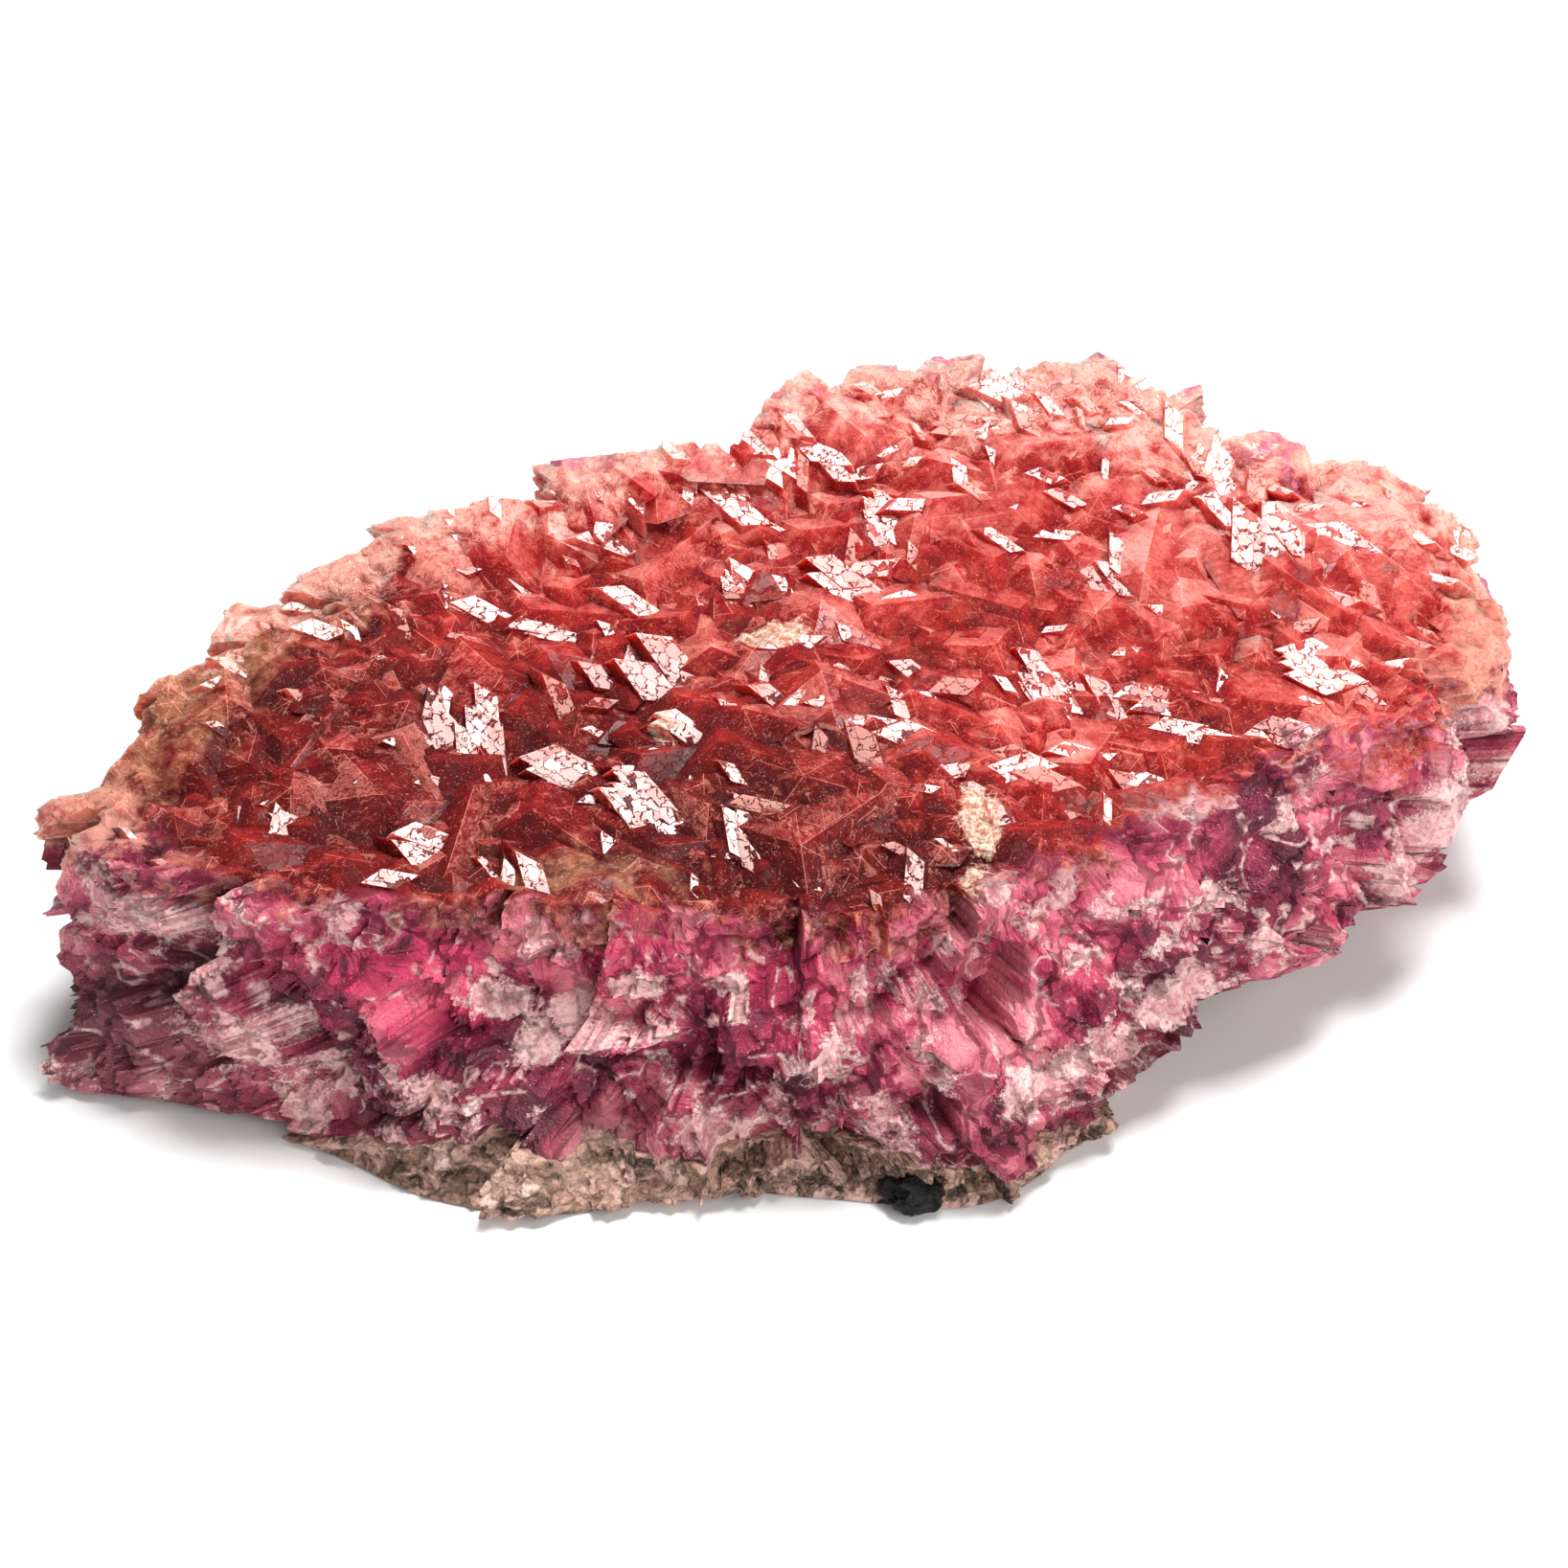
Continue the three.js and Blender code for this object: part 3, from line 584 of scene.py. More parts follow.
def contact_block(lift):
    """A closed block with the contact as its top, raised by a lift, that reaches far below the slab."""
    columns, rows = 121, 81
    x, y = np.meshgrid(np.linspace(-80, 80, columns), np.linspace(-55, 50, rows), indexing="ij")
    rough = 2.2 * (layered_noise(beside(x, y, 0 * x), 5.0, 71) - 0.5)
    top = beside(x, y, rock_top(x, y) + rough + lift).reshape(-1, 3)
    low = top * [1, 1, 0] - [0, 0, 20]
    number = np.arange(columns * rows).reshape(columns, rows)
    upper = beside(number[:-1, :-1], number[1:, :-1], number[1:, 1:], number[:-1, 1:]).reshape(-1, 4)
    lower = upper[:, ::-1] + len(top)
    edge = np.concatenate([number[:-1, 0], number[-1, :-1], number[:0:-1, -1], number[0, :0:-1]])
    after = np.roll(edge, -1)
    wall = beside(edge, edge + len(top), after + len(top), after)
    return np.concatenate([top, low]), np.concatenate([upper, lower, wall]).tolist()


def cut_by(body, block, operation):
    """The mesh of an object after a cut with a closed block, or of what it shares with the block."""
    cutter = put_object("cutter", put_mesh("cutter", *block))
    cut = body.modifiers.new("cut", "BOOLEAN")
    cut.operation, cut.solver, cut.object = operation, "MANIFOLD", cutter
    mesh = finished(body)
    body.modifiers.clear()
    body.data = mesh
    bpy.data.objects.remove(cutter)
    return mesh


groups = [main_druse, rim_druse, bright_druse, spark_druse, main_steps, small_druse, fine_druse]
first = 1
for group in groups:
    group.first = first
    first += len(group.points)
# The mass of the vein reaches 3 mm past the broken side and lies 1.2 mm under the crystal face. All crystals
# are grown into it, and it is cut to the broken side and to the rock below.
FINE_COLUMNS = 840
mass = slab_skin(112, top_rings=16, side_rows=np.linspace(0, 2.8, 8), rise=-1.2, offset=lambda *at: 3.0)
calcite = put_object("calcite_druse", join(put_mesh("mass", *mass), groups))
side_rows = np.linspace(-0.5, 2.8, 82)
skin = slab_skin(FINE_COLUMNS, top_rings=6, side_rows=side_rows, rise=6.0, offset=broken_offset)
cut_by(calcite, skin, "INTERSECT")
crust = cut_by(calcite, contact_block(0.0), "DIFFERENCE")


def corners_of(mesh):
    """Position of every face corner in millimetres, and the face that it is on."""
    vertex = read(mesh.loops, "vertex_index", np.int32)
    length = read(mesh.polygons, "loop_total", np.int32)
    return read(mesh.vertices, "co", width=3)[vertex] * 1000.0, np.repeat(np.arange(len(length)), length)


def put_attribute(mesh, name, channels, domain="CORNER"):
    """Up to four numbers for every face corner or point, as a colour that the material reads."""
    layer = mesh.color_attributes.new(name, "FLOAT_COLOR", domain)
    four = np.zeros((len(layer.data), 4), np.float32)
    for k, channel in enumerate(channels):
        four[:, k] = channel
    layer.data.foreach_set("color", four.ravel())


def spots(x, y, rows):
    """Soft round spots: how strongly each point is covered, from rows of the middle, the two half widths and
    the strength of a spot. Each is a bell curve of the distance from its middle."""
    total = 0
    for place_x, place_y, wide, deep, strength in rows:
        total = total + strength * np.exp(-(((x - place_x) / wide) ** 2) - ((y - place_y) / deep) ** 2)
    return total


corner, face = corners_of(crust)
x, y, z = corner.T
above = z - top_height(x, y)
distance_in = inward(x, y) * 40
front = smooth(-y / 10)

# How red each place is: the red growth ends near the lip, a little further in at the right front and beyond
# the lip at the back and at the right tip
under_lip = np.minimum(z - at_lip(lip[:, 2], x, y), 0)
over_lip = np.where(above > -4, np.clip(distance_in, -2, 40), under_lip)
boundary = 0.8 + 1.5 * smooth((x - 8) / 30) * smooth((8 - y) / 16)
boundary = boundary - 5 * smooth((y - 0.4 * x - 2) / 10) - 5 * smooth((x - 46) / 12)
red = np.clip((over_lip - boundary + 4) / 10, 0, 1)
# Painted shade: the red is darker down in the hollows between crystals and lighter on their peaks
depth = smooth((above + 1.8) / 4.4)
rim = smooth(1 - distance_in / 7) * smooth((y + 8) / 14) + 0.45 * smooth(1 - distance_in / 8) * front
rim = rim + spots(x, y, [[-64, -22, 7.75, 7.75, 1]])

# Every side of a crystal has a tone of its own, and two in five are glossy. The flat crystals are glossy
# where they face the way that mirrors the light, and their colour there is paler: a painted highlight.
grown = read(crust.attributes["growth"].data, "value", np.int32)
number, normal = grown[face], read(crust.polygons, "normal", width=3)[face]
side_number = np.round(normal @ np.array([3.1, 5.3, 7.7]))
tone = 0.5 * share(number, 57) + 0.5 * share(number * 37 + side_number, 58)
flat_ones = (number >= bright_druse.first) & (number < main_steps.first)
broad = smooth((normal @ MIRROR - 0.9) / 0.06)
glossy = share(number * 41 + side_number, 53) > 0.6
put_attribute(crust, "face_gloss", (np.where(flat_ones, 0.15 + 0.85 * broad, 0.14 + 0.26 * glossy),))
put_attribute(crust, "growth_colour", (tone, depth, red, rim))

# The crystals are tan at the left rim, at the right tip and in a patch at the front, and pale at the back.
# Painted light makes them lighter to the right, uphill, along the front lip and in spots; painted shade
# darkens one spot at the left.
tan = 0.65 * smooth((-36 - x + 0.9 * y) / 18) + 0.6 * smooth((x - 60) / 6)
tan = np.clip(tan + spots(x, y, [[-17, -26, 10.5, 3.46, 0.55]]), 0, 1)
back_rim = smooth(1 - distance_in / 14) * smooth((y - 0.15 * x - 2) / 12)
back = np.maximum(smooth((y + 0.12 * x - 15) / 20), 0.9 * back_rim) * smooth((z - 14) / 14)
painted_glow = smooth((0.6 * x + 2.65 * y + 64) / 130) + 0.12 * smooth(1 - distance_in / 7) * front
painted_glow = painted_glow + spots(x, y, [
    [26, -13, 20.5, 10.5, 0.42], [-22, 14, 17.3, 9.5, 0.1],
    [-44, -8, 9.5, 7.75, -0.12], [-54, -12, 12.65, 12.65, 0.22],
])
# Painted light: how squarely each face turns up towards the light, which lightens its red
facing = normal @ np.array([-0.1, 0.3, 0.95])
put_attribute(crust, "zone_colour", (tan, back, painted_glow, facing))

place = read(crust.vertices, "co", width=3).astype(float) * 1000
x, y, z = place.T


def patches(rows):
    """Spots on the broken front, placed along and up, that fade out towards the back."""
    return np.clip(spots(x, z, rows), 0, 1) * smooth((10 - y) / 10)


hot = patches([
    [-32, 21, 5, 5, 0.9], [-40, 22, 6, 4, 0.8], [-29, 18, 5, 3, 0.7], [-15, 22, 6, 5, 0.9],
    [3, 21, 9, 5, 0.5], [26, 23, 9, 7, 0.5], [20, 5, 6, 3, 0.4], [-52, 4, 8, 2, 0.5],
])
white = patches([
    [-52, 15, 7, 2.0, 0.9], [-46, 21, 3.5, 3.5, 0.8], [-54, 20, 6, 4, 0.8], [-49, 12, 4, 3, 0.5],
    [-26, 18, 3.5, 2.5, 0.9], [-20, 15, 5, 4, 0.7], [-51, 3, 9, 1.6, 0.7], [16, 14, 8, 3, 0.6],
    [22, 10, 8, 3, 0.4], [6, 16, 4, 2, 0.5], [-17, 17, 5, 3, 0.5], [-42, 7, 6, 2.5, 0.6],
    [-6, 8, 6, 2.5, 0.5], [-6, 21, 3, 2, 0.7], [34, 13, 5, 6, 1.0], [44, 20, 5, 5, 0.6],
    [50, 12, 6, 4, 0.6], [30, 8, 7, 3, 0.5], [-56, 22, 4, 2.5, 0.5], [-30, 3, 8, 2, 0.5],
    [60, 16, 6, 8, 0.8], [66, 22, 5, 6, 0.6], [-12, 9, 30, 3, 0.45], [-35, 8, 14, 4, 0.4],
    [0, 4, 40, 1.5, 0.4],
])
# Painted shade: dark patches in the hollows of the broken front
hollow_shade = patches([
    [-27, 15, 4.5, 3, 0.95], [-36, 8, 6, 4, 0.7], [-14, 12, 6, 4, 0.5], [-40, 23, 8, 3, 0.4],
    [45, 16, 6, 5, 0.3], [-44, 16, 8, 4, 0.5], [-22, 9, 6, 4, 0.6], [-4, 13, 5, 3, 0.5],
    [12, 8, 6, 3, 0.4],
])
# Painted shade: the broken side turns purple-grey at the lower left and low down, fading out to the back
painted_low_shade = np.maximum(smooth((-40 - x) / 16) * smooth((18 - z) / 8), 0.5 * smooth((13 - z) / 8))
painted_low_shade = painted_low_shade * smooth((10 - y) / 10)
cream = spots(x, y, [
    [17.7, -19.5, 2.2, 4.5, 1], [17.5, -27, 1.6, 2.2, 1], [-1, 1.5, 4.2, 2, 1], [-10.7, -9, 1.6, 2.2, 1],
])

# The break's own structure: sheaves of fibres that fan out from a root, in cells about 8 mm across, each
# parted into blocks; pale crusts where layered noise is high, and a lace where it crosses its middle
bent = place + 2.5 * drift(place, 3.0, 101)
root, sheaf = nearest_cell(bent, 7.7)
aside = beside(*(share(sheaf, salt) for salt in (31, 32, 33))) - 0.5
away = bent - root - 12 * aside
level = away[:, 0] + 0.7 * away[:, 1]
fan = beside(12 * np.arctan2(away[:, 2], level), 0.25 * level, 60 * share(sheaf, 34))
layer = crust.attributes.new("fibre_fan", "FLOAT_VECTOR", "POINT")
layer.data.foreach_set("vector", fan.astype(np.float32).ravel())
block = nearest_cell(bent, 3.3)[1]
# The painted shade darkens the pink in the hollows
bloom = 0.5 + 1.2 * (layered_noise(place, 6.0, 111, 3) - 0.5) - 0.5 * hollow_shade + 0.1 * hot
bloom = bloom + 0.4 * (share(sheaf, 35) - 0.5) + 0.4 * (share(block, 36) - 0.5)
ragged = layered_noise(place * [1, 1, 1.3], 4.4, 121, 5) + 0.13 * (share(block, 37) - 0.5)
ragged = ragged + 0.2 * white - 0.1 * hollow_shade - 0.05 * hot
lace, pool = layered_noise(place, 5.0, 131, 3), layered_noise(place, 8.0, 141, 2)
put_attribute(crust, "break_marks", (bloom, ragged, lace, hot), "POINT")
put_attribute(crust, "broad_marks", (pool, cream, painted_low_shade), "POINT")


def linear(colour):
    """The linear colour of one matched on a screen, in steps from 0 to 255, by the sRGB curve."""
    return tuple(c / 3294.6 if c <= 10.31475 else ((c / 255 + 0.055) / 1.055) ** 2.4 for c in colour)


class Tone:
    """One output of a node in a material. Arithmetic on it adds Math nodes."""

    def __init__(self, finish, socket):
        self.finish, self.socket = finish, socket

    def maths(self, operation, first, second=0.0):
        return self.finish.node("Math", {"operation": operation}, {0: first, 1: second})

    def __add__(self, other):
        return self.maths("ADD", self, other)

    def __sub__(self, other):
        return self.maths("SUBTRACT", self, other)

    def __rsub__(self, other):
        return self.maths("SUBTRACT", other, self)

    def __mul__(self, other):
        return self.maths("MULTIPLY", self, other)

    __radd__, __rmul__ = __add__, __mul__

    def also(self, output):
        """Another output of the same node."""
        return Tone(self.finish, self.socket.node.outputs[output])


class Finish:
    """A material under construction."""

    def __init__(self, name):
        self.material = bpy.data.materials.new(name)
        self.material.use_nodes = True
        self.tree = self.material.node_tree
        self.tree.nodes.clear()

    def node(self, kind, settings=None, inputs=None, output=0):
        """Adds a shader node of a type, sets it up, fills its sockets with values or links, and gives back
        one of its outputs. Colours are in steps from 0 to 255, and a ramp's stops pair a place with one."""
        node = self.tree.nodes.new("ShaderNode" + kind)
        for name, value in (settings or {}).items():
            if name == "stops":
                while len(node.color_ramp.elements) < len(value):
                    node.color_ramp.elements.new(1.0)
                for element, (place, colour) in zip(node.color_ramp.elements, value):
                    element.position, element.color = place, (*linear(colour), 1.0)
            else:
                setattr(node, name, value)
        for name, value in (inputs or {}).items():
            if isinstance(value, Tone):
                self.tree.links.new(value.socket, node.inputs[name])
            elif node.inputs[name].type == "RGBA":
                node.inputs[name].default_value = (*linear(value), 1.0)
            else:
                node.inputs[name].default_value = value
        return Tone(self, node.outputs[output])

    def ease(self, value, low, high):
        """A smooth step from 0 to 1 between two values."""
        inputs = {"Value": value, "From Min": low, "From Max": high}
        return self.node("MapRange", {"interpolation_type": "SMOOTHSTEP"}, inputs)

    def mix(self, amount, first, second):
        """A blend of two colours."""
        settings = {"data_type": "RGBA", "clamp_factor": True}
        return self.node("Mix", settings, {0: amount, 6: first, 7: second}, 2)

    def noise(self, vector, scale, detail, rough, dimensions="3D"):
        """Smooth random noise about a half."""
        inputs = {"Vector": vector, "Scale": scale, "Detail": detail, "Roughness": rough}
        return self.node("TexNoise", {"noise_dimensions": dimensions}, inputs)

    def cells(self, vector, scale, feature="F1", dimensions="3D", output="Distance"):
        """Random cells: the distance to the nearest middle or border, a colour of each or its middle."""
        settings = {"feature": feature, "voronoi_dimensions": dimensions}
        return self.node("TexVoronoi", settings, {"Vector": vector, "Scale": scale}, output)

    def vector(self, operation, first, second):
        """Arithmetic on two vectors."""
        output = "Value" if operation == "DOT_PRODUCT" else "Vector"
        return self.node("VectorMath", {"operation": operation}, {0: first, 1: second}, output)

    def scaled(self, vector, scale):
        """A vector times a number."""
        return self.node("VectorMath", {"operation": "SCALE"}, {0: vector, "Scale": scale})

    def millimetres(self):
        """The place on the object in millimetres."""
        return self.scaled(self.node("TexCoord", output="Object"), 1000.0)

    def channels(self, name):
        """The three channels of a colour attribute of the mesh, and its alpha."""
        colour = self.node("Attribute", {"attribute_name": name}, output="Color")
        return *self.split(colour), colour.also("Alpha")

    def ramp(self, value, *stops):
        """A colour that runs through stops, each a place from 0 to 1 and a colour."""
        return self.node("ValToRGB", {"stops": stops}, {0: value})

    def bump(self, height):
        """Normals of a relief, its height in millimetres."""
        inputs = {"Strength": 1.0, "Distance": 0.001, "Height": height}
        return self.node("Bump", {}, inputs)

    def surface(self, colour, roughness, normal, ior, **more):
        """A shader from what changes over the surface, and from constants for its other sockets."""
        inputs = {"Base Color": colour, "Roughness": roughness, "Normal": normal, "IOR": ior, **more}
        return self.node("BsdfPrincipled", {}, inputs)

    def split(self, colour):
        """The three channels of a colour."""
        red = self.node("SeparateColor", {}, {0: colour})
        return red, red.also(1), red.also(2)

    def dress(self, mesh, shader):
        """Ends the material in a shader and puts it on a mesh."""
        out = self.tree.nodes.new("ShaderNodeOutputMaterial")
        self.tree.links.new(shader.socket, out.inputs["Surface"])
        mesh.materials.clear()
        mesh.materials.append(self.material)


stone = Finish("cobaltoan_calcite")
mm = stone.millimetres()
flat = stone.node("UVMap", {"uv_map": "facet"})
tone, depth, red, rim = stone.channels("growth_colour")
tan, back, painted_glow, facing = stone.channels("zone_colour")
bloom, ragged, lace, hot = stone.channels("break_marks")
pool, cream, painted_low_shade = stone.channels("broad_marks")[:3]
gloss_and_glint = stone.channels("face_gloss")[0]

cloud = stone.noise(mm, 0.4, 2, 0.6)
fine = stone.noise(mm, 2.2, 2, 0.7)
border = red + (cloud - 0.5) * 1.3 + (pool - 0.5) * 0.7 + (fine - 0.5) * 0.4
border = stone.ease(border, 0.32, 0.68)

# The red druse: flat translucent faces, a mosaic of shallow cracks, scratches and a thin haze
wander = stone.node("TexNoise", {"noise_dimensions": "2D"}, {"Vector": flat, "Scale": 1.3}, "Color")
curved = stone.vector("ADD", flat, stone.scaled(wander, 1.5))
curved = stone.vector("MULTIPLY", curved, (0.6, 1.05, 1.0))
tile = stone.cells(curved, 1.0, dimensions="2D", output="Color")
middle = tile.also("Position")
crack = stone.cells(curved, 1.0, "DISTANCE_TO_EDGE", "2D")
away = stone.vector("SUBTRACT", curved, middle)
tilt = stone.vector("DOT_PRODUCT", stone.vector("SUBTRACT", tile, (0.5, 0.5, 0.5)), away)
cracked = 1 - stone.ease(crack, 0.03, 0.085)
matt = stone.split(tile)[0]
lost = stone.ease(matt, 0.84, 0.87)
veil = stone.noise(stone.vector("MULTIPLY", curved, (1.0, 2.9, 1.0)), 1.2, 4, 0.8, "2D")

# Painted light and shade: the red is lighter on faces turned up to the light, on the crystals' peaks and
# where the painted glow is
lit = stone.ease(facing, 0.72, 1.0)
heat = lit * 0.2 + depth * 0.26 + painted_glow * 0.57 - 0.07
heat = heat + (pool - 0.5) * 0.45 + (tone - 0.5) * 0.3 + (cloud - 0.5) * 0.7 + (veil - 0.5) * 0.4
ruby = stone.ramp(
    heat,
    (0.0, (66, 2, 6)),
    (0.3, (108, 4, 10)),
    (0.55, (154, 24, 26)),
    (0.78, (204, 96, 90)),
    (1.0, (238, 166, 158)),
)
# Painted glow: an orange cast on the red where the painted light is strong
ruby = stone.mix(painted_glow * stone.ease(cloud, 0.4, 0.7) * 0.3, ruby, (196, 84, 64))
buff = stone.mix(stone.ease(veil, 0.4, 0.65), (148, 92, 64), (200, 146, 116))
tawny = stone.mix(stone.ease(tan * 1.2 + (cloud - 0.5) * 1.6, 0.25, 0.9) * 0.85, ruby, buff)
pale = stone.mix(stone.ease(rim + (cloud - 0.5) * 1.5, 0.35, 1.1) * 0.7, tawny, (224, 154, 140))
lofty = stone.ease(back + (cloud - 0.5) * 1.4 + (tone - 0.5) * 0.7, 0.25, 1.0)
pale = stone.mix(lofty * stone.ease(veil + (cloud - 0.5) * 0.5, 0.28, 0.7), pale, (244, 184, 170))
haze = stone.ease(veil * 1.2 - 0.12 + (tone - 0.5) * 0.6, 0.57, 0.82)
pale = stone.mix(haze * 0.5, pale, (206, 124, 112))
strayed = stone.vector("ADD", curved, stone.scaled(wander, 0.8))
hair = stone.cells(strayed, 1.5, "DISTANCE_TO_EDGE", "2D")
hair = (1 - stone.ease(hair, 0.02, 0.07)) * stone.ease(veil, 0.53, 0.6)
pale = stone.mix(hair * 0.45, pale, (232, 160, 144))
# Painted highlight: thin pale lines along some edges of the crystals
edge = stone.node("SeparateXYZ", {}, {0: stone.node("UVMap", {"uv_map": "edges"})})
edge_highlight = (1 - stone.ease(edge, 0.02, 0.07)) * stone.ease(tone, 0.5, 0.55) * stone.ease(cloud, 0.42, 0.5)
specks = stone.ease(stone.noise(mm, 5.5, 1, 0.5), 0.7, 0.74)
pale = stone.mix(edge_highlight * 0.6, pale, (240, 176, 160))
pale = stone.mix(specks * 0.4, pale, (236, 170, 156))
pale = stone.mix(0.014, pale, (226, 190, 180))
pale = stone.mix(cracked * (0.2 + gloss_and_glint * 0.4), pale, (84, 0, 6))
creamy = stone.ease(cream + (cloud - 0.5) * 0.9 + (veil - 0.5) * 0.8, 0.45, 0.6)
cream_colour = stone.mix(stone.ease(fine, 0.4, 0.6), (190, 130, 108), (236, 212, 194))
pale = stone.mix(creamy * 0.85, pale, cream_colour)
faded = 1 - stone.ease(veil * 0.7 + cloud * 0.5 + tilt * 0.15, 0.54, 0.72) * 0.65
shine = gloss_and_glint * (1 - cracked) * (1 - lost * 0.9) * (1 - creamy) * faded
# Painted highlight: the faces of flat crystals that mirror the light get a pale colour between the cracks
glint_facing = stone.ease(gloss_and_glint, 0.85, 0.95)
painted_glint = glint_facing * (1 - lost) * (1 - cracked) * (1 - creamy)
pale = stone.mix(painted_glint * 0.55, pale, (232, 172, 162))
height = tilt * (0.1 - glint_facing * 0.055) - cracked * 0.03
shine = shine * stone.ease(tone, -0.2, 0.7) * (1 - matt * 0.35)
coat = {"Coat Weight": shine, "Coat Roughness": 0.05, "Coat IOR": 1.45}
inner_light = {"Subsurface Weight": 0.8, "Subsurface Radius": (1.0, 0.24, 0.2), "Subsurface Scale": 0.006}
druse = stone.surface(pale, 0.4, stone.bump(height), 1.12, **coat, **inner_light)

# The pink mass: a waxy break in sheaves of fibres that fan out, with pale granular crusts, and painted shade
# in its hollows and low down
fan = stone.node("Attribute", {"attribute_name": "fibre_fan"}, output="Vector")
fibre = stone.noise(fan, 1.0, 3, 0.7)
bloom = bloom + (cloud - 0.5) * 0.6 + (fibre - 0.5) * 0.8
pink = stone.ramp(
    bloom,
    (0.0, (82, 12, 36)),
    (0.3, (124, 26, 56)),
    (0.5, (164, 50, 80)),
    (0.85, (226, 132, 144)),
)
pink = stone.mix(hot * stone.ease(cloud + fibre, 0.75, 1.15) * 0.85, pink, (212, 46, 96))
# Painted shade: purple-grey at the lower left and low down
pink = stone.mix(painted_low_shade * 0.6, pink, (116, 70, 74))
pink = stone.mix(stone.ease(back, 0.2, 0.8) * 0.7, pink, (222, 112, 140))
ragged = ragged + (fine - 0.5) * 0.2 + (fibre - 0.5) * 0.16
line = (lace - 0.5) + (fine - 0.5) * 0.05
lace = (1 - stone.ease(line.maths("ABSOLUTE", line), 0.01, 0.045)) * stone.ease(cloud, 0.46, 0.54)
flakes = stone.ease(ragged, 0.59, 0.63)
flaky = flakes.maths("MAXIMUM", flakes, lace * 0.85)
chalk = stone.ease(fine * 0.6 + cloud * 0.5, 0.42, 0.7)
chalk = stone.mix(chalk, (196, 128, 132), (244, 212, 206))
mass = stone.mix(flaky * (0.9 - fibre * 0.3), pink, chalk)
mass = stone.mix(specks * 0.5, mass, (236, 198, 198))
height = fine * (0.3 - flaky * 0.22) + fibre * (0.35 - flaky * 0.2)
height = height + stone.ease(ragged, 0.595, 0.65) * 0.3
broken = stone.surface(mass, 0.32 + fine * 0.2, stone.bump(height), 1.42)
stone.dress(crust, stone.node("MixShader", {}, {0: border, 1: broken, 2: druse}))
crust.shade_smooth()
crust.set_sharp_from_angle(angle=math.radians(28))
# The broken side is smooth between its sharp edges, and the crystals' faces are flat
crust.polygons.foreach_set("use_smooth", grown == 0)
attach(calcite, "root")
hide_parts("calcite_crust")

# The host rock
# Brown and grey grains set in a cream cement: the skin of the vein wall that the calcite grew on. It ends in
# the same ragged contact as the calcite above it, and its underside is cut flat to rest on.
def rock_offset(p, cliff):
    """How far the rock's edge stands out: the slab's large facets, grains of two sizes and a fine noise."""
    wander = drift(p, 2.0, 64)
    coarse = facet_offset(p + 1.2 * wander + 11.3, 2.2, 0.5, 0.3)
    fine = facet_offset(p + 0.8 * wander + 53.9, 0.9, 0.5, 0.1)
    return facet_offset(p) + coarse + fine + 0.5 * (layered_noise(p, 1.6, 95, 2) - 0.5)


# The rock fills the slab's foot up to its waist, and the contact cuts it
points, faces = slab_skin(FINE_COLUMNS, 2, np.linspace(1.7, 3, 34), 0.0, rock_offset, calm_foot=0.12)
points[1 : FINE_COLUMNS + 1, 2] = along(1, np.arange(FINE_COLUMNS) / FINE_COLUMNS)[:, 2]
points[0, 2] = 18
rock = put_object("host_rock_skin", put_mesh("host_rock_skin", points, faces))
stony = cut_by(rock, contact_block(-0.02), "INTERSECT")
x, y, z = corners_of(stony)[0].T
below = rock_top(x, y) - z
left = smooth((x + 46) / 8) * smooth((-16 - x) / 8)
put_attribute(stony, "rock_zone", (smooth(below / 2.5), smooth((x + 8) / 20), left))

wall = Finish("host_rock")
mm = wall.millimetres()
under, right, left = wall.channels("rock_zone")[:3]
wander = wall.node("TexNoise", {}, {"Vector": mm, "Scale": 0.8}, "Color")
curved = wall.vector("ADD", mm, wall.scaled(wander, 1.6))
hue, shade = wall.split(wall.cells(curved, 0.5, output="Color"))[:2]
gap = wall.cells(curved, 0.5, "DISTANCE_TO_EDGE")
fine = wall.noise(mm, 2.4, 3, 0.7)
grains = wall.ramp(
    hue * 0.7 + (fine - 0.5) * 1.1 + 0.08 + left * 0.08,
    (0.0, (50, 42, 36)),
    (0.25, (120, 92, 76)),
    (0.45, (162, 124, 106)),
    (0.62, (192, 152, 136)),
    (0.8, (220, 180, 166)),
    (1.0, (240, 212, 200)),
)
layer = wall.noise(wall.vector("MULTIPLY", mm, (0.5, 0.5, 1.6)), 0.5, 3, 0.65)
cement = wall.ease(layer + wall.ease(under, 0.5, 0.0) * 0.16 - right * 0.05, 0.53, 0.61)
colour = wall.mix(cement * 0.85, grains, (212, 168, 150))
colour = wall.mix((1 - wall.ease(gap, 0.0, 0.12)) * 0.5, colour, (58, 46, 38))
relief = wall.bump(wall.ease(gap, 0.0, 0.25) * 0.35 + fine * 0.35)
wall.dress(stony, wall.surface(colour, 0.6 + shade * 0.3, relief, 1.5))
stony.shade_smooth()
stony.set_sharp_from_angle(angle=math.radians(40))
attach(rock, "root")
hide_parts("host_rock")

# The black lump
# A pea-sized lump of manganese oxide grown in the rock's front edge: dull black with a faint oily sheen.
LUMP_PLACE, LUMP_SIZE = np.array([11.7, -39.6, 1.3]), np.array([2.8, 2.3, 1.9])
MERIDIANS, PARALLELS = 96, 47
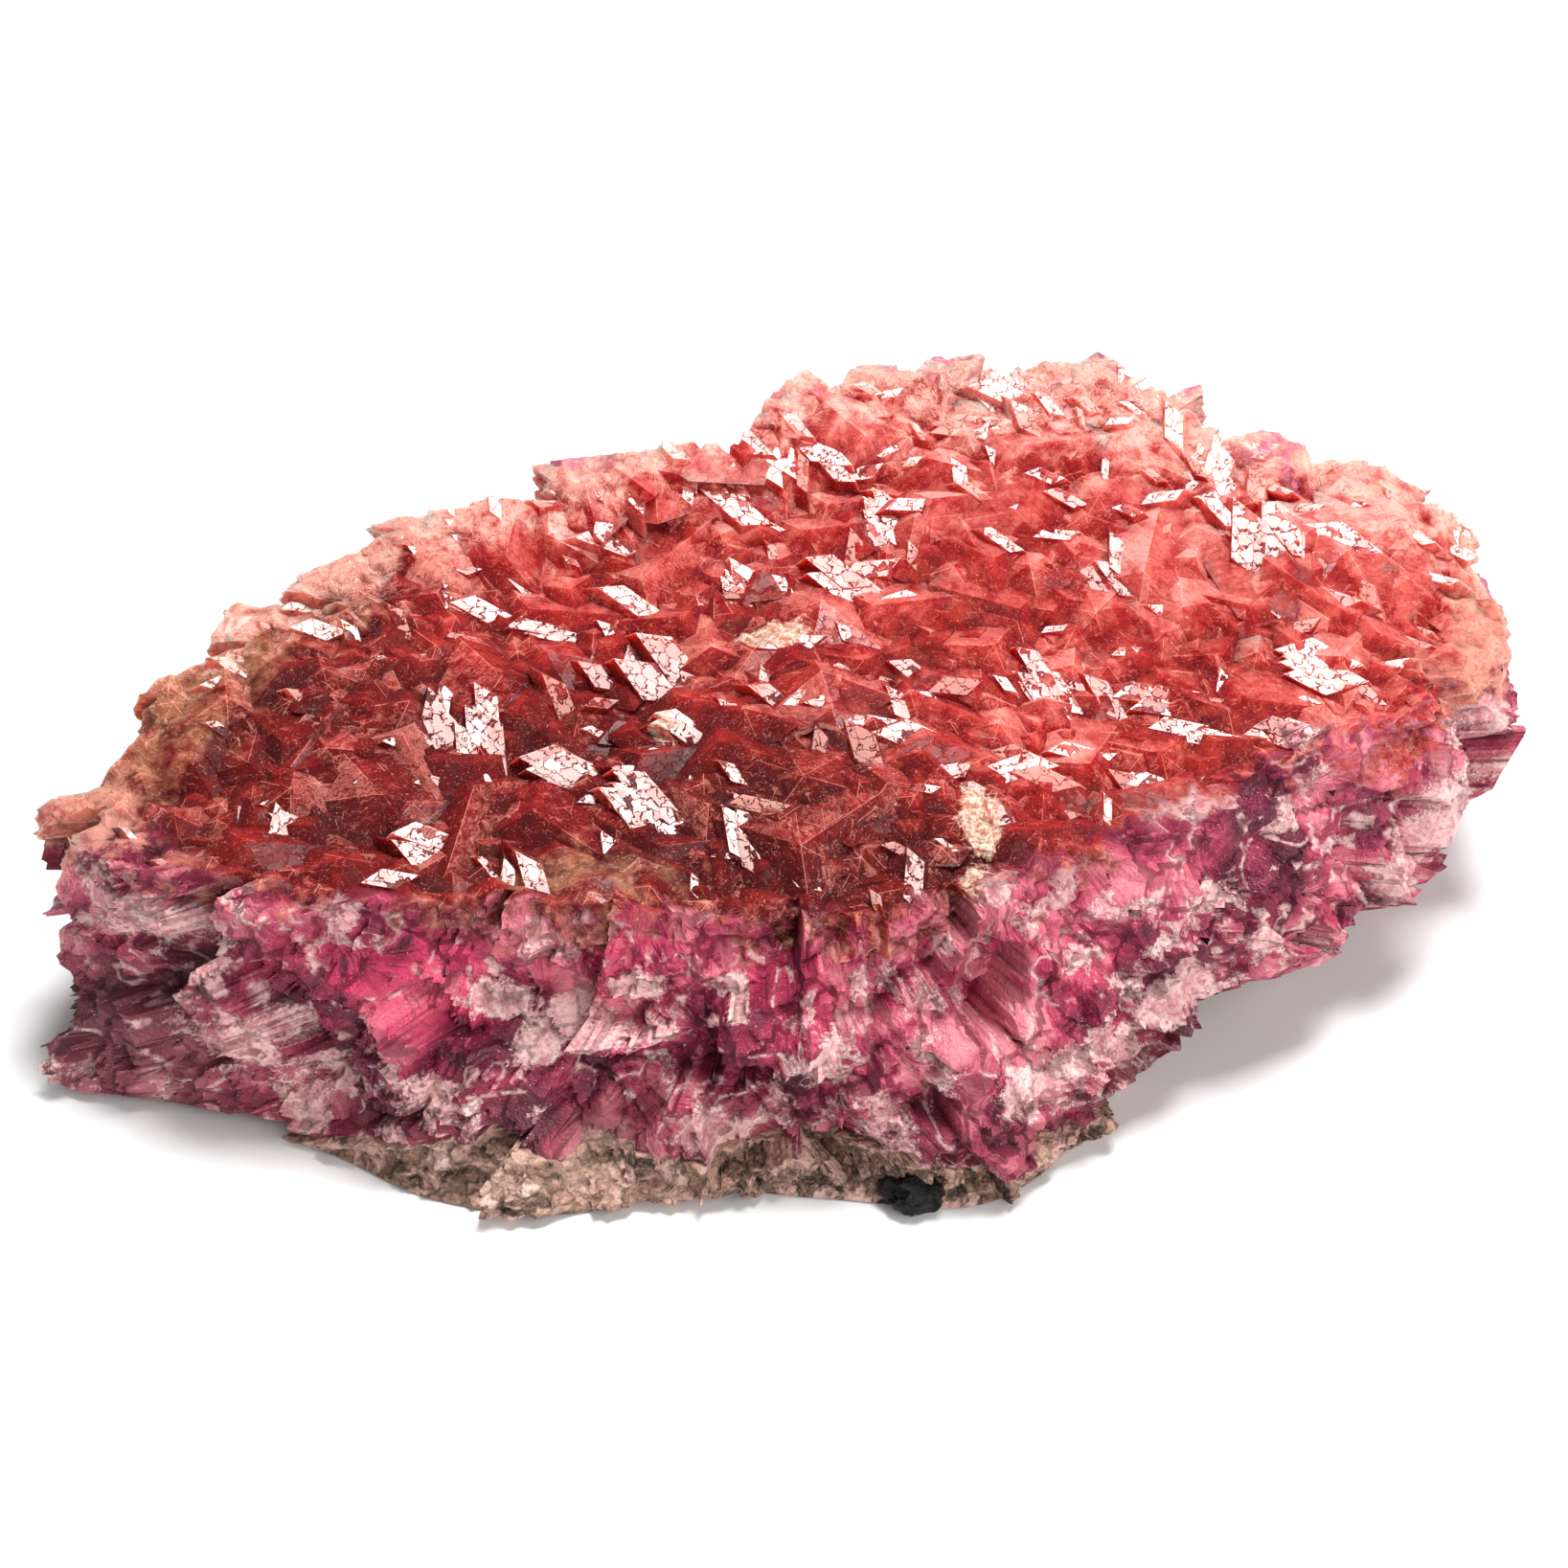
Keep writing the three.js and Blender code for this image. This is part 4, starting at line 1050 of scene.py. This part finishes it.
# A ball whose radius swells by smooth hills and facets, stretched to the lump's three half widths
t, s = np.meshgrid(
    np.arange(MERIDIANS) / MERIDIANS * TURN, np.arange(1, PARALLELS + 1) / (PARALLELS + 1) * math.pi
)
way = beside(np.sin(s) * np.cos(t), np.sin(s) * np.sin(t), np.cos(s)).reshape(-1, 3)
way = np.concatenate([[[0, 0, 1.0]], way, [[0, 0, -1.0]]])
swell = 1 + 0.7 * (layered_noise(way * 1.5 + 8, 1.4, 41) - 0.5) + 0.35 * facet_offset(way + 5, 0.9, 0.8, 0.3)
points = LUMP_PLACE + way * LUMP_SIZE * swell[:, None]
points[:, 2] = np.maximum(points[:, 2], 0)
lump_mesh = put_mesh("black_oxide", points, skin_faces(PARALLELS, MERIDIANS))
lump = put_object("black_oxide", lump_mesh)
ink = Finish("black_oxide")
fine = ink.noise(ink.millimetres(), 2.5, 3, 0.7)
colour = ink.mix(fine, (9.9, 9.9, 12.9), (28.6, 27.1, 27.1))
ink.dress(lump_mesh, ink.surface(colour, 0.4, ink.bump(fine * 0.3), 1.3))
lump_mesh.shade_smooth()
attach(lump, "root")
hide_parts("black_oxide_lump")

# The studio
# A pale table, a large soft light above and behind, and the camera at the height that the photograph has.
plane = bpy.data.meshes.new("table_top")
plane.from_pydata([(-3, -3, 0), (3, -3, 0), (3, 3, 0), (-3, 3, 0)], [], [(0, 1, 2, 3)])
# A little below the resting face, so that the two never share a plane
floor = put_object("table_top", plane)
floor.location.z = -0.0002
pale = bpy.data.materials.new("pale_table")
pale.use_nodes = True
look = pale.node_tree.nodes["Principled BSDF"].inputs
look["Base Color"].default_value, look["Roughness"].default_value = (0.86, 0.86, 0.86, 1), 0.9
plane.materials.append(pale)


def lamp(name, way, distance, size, power):
    """A square soft light in a direction from the specimen, facing it."""
    data = bpy.data.lights.new(name, "AREA")
    data.shape, data.size, data.energy = "SQUARE", size, power
    light, way = put_object(name, data), Vector(way).normalized()
    light.location = way * distance + Vector((0, 0, 0.02))
    light.rotation_euler = way.to_track_quat("Z", "Y").to_euler()


lamp("key", (0.15, 0.097, 0.98), distance=0.9, size=0.34, power=11)
lamp("front", (0.68, -0.75, 0.5), distance=1.0, size=1.0, power=8.5)
world = bpy.data.worlds.new("studio")
bpy.context.scene.world = world
world.use_nodes = True
look = world.node_tree.nodes["Background"].inputs
look["Color"].default_value, look["Strength"].default_value = (1, 1, 1, 1), 0.22

lens = bpy.data.cameras.new("camera")
lens.lens, lens.sensor_width, lens.clip_start = 110, 36, 0.01
camera = put_object("camera", lens)
LOOK_DOWN, LOOK_AT, CAMERA_AWAY = math.radians(40), Vector((0, -0.002, 0.018)), 0.451
toward = Vector((0, math.cos(LOOK_DOWN), -math.sin(LOOK_DOWN)))
camera.location = LOOK_AT - toward * CAMERA_AWAY
camera.rotation_euler = toward.to_track_quat("-Z", "Y").to_euler()
bpy.context.scene.camera = camera
bpy.context.scene.view_settings.view_transform = "Standard"
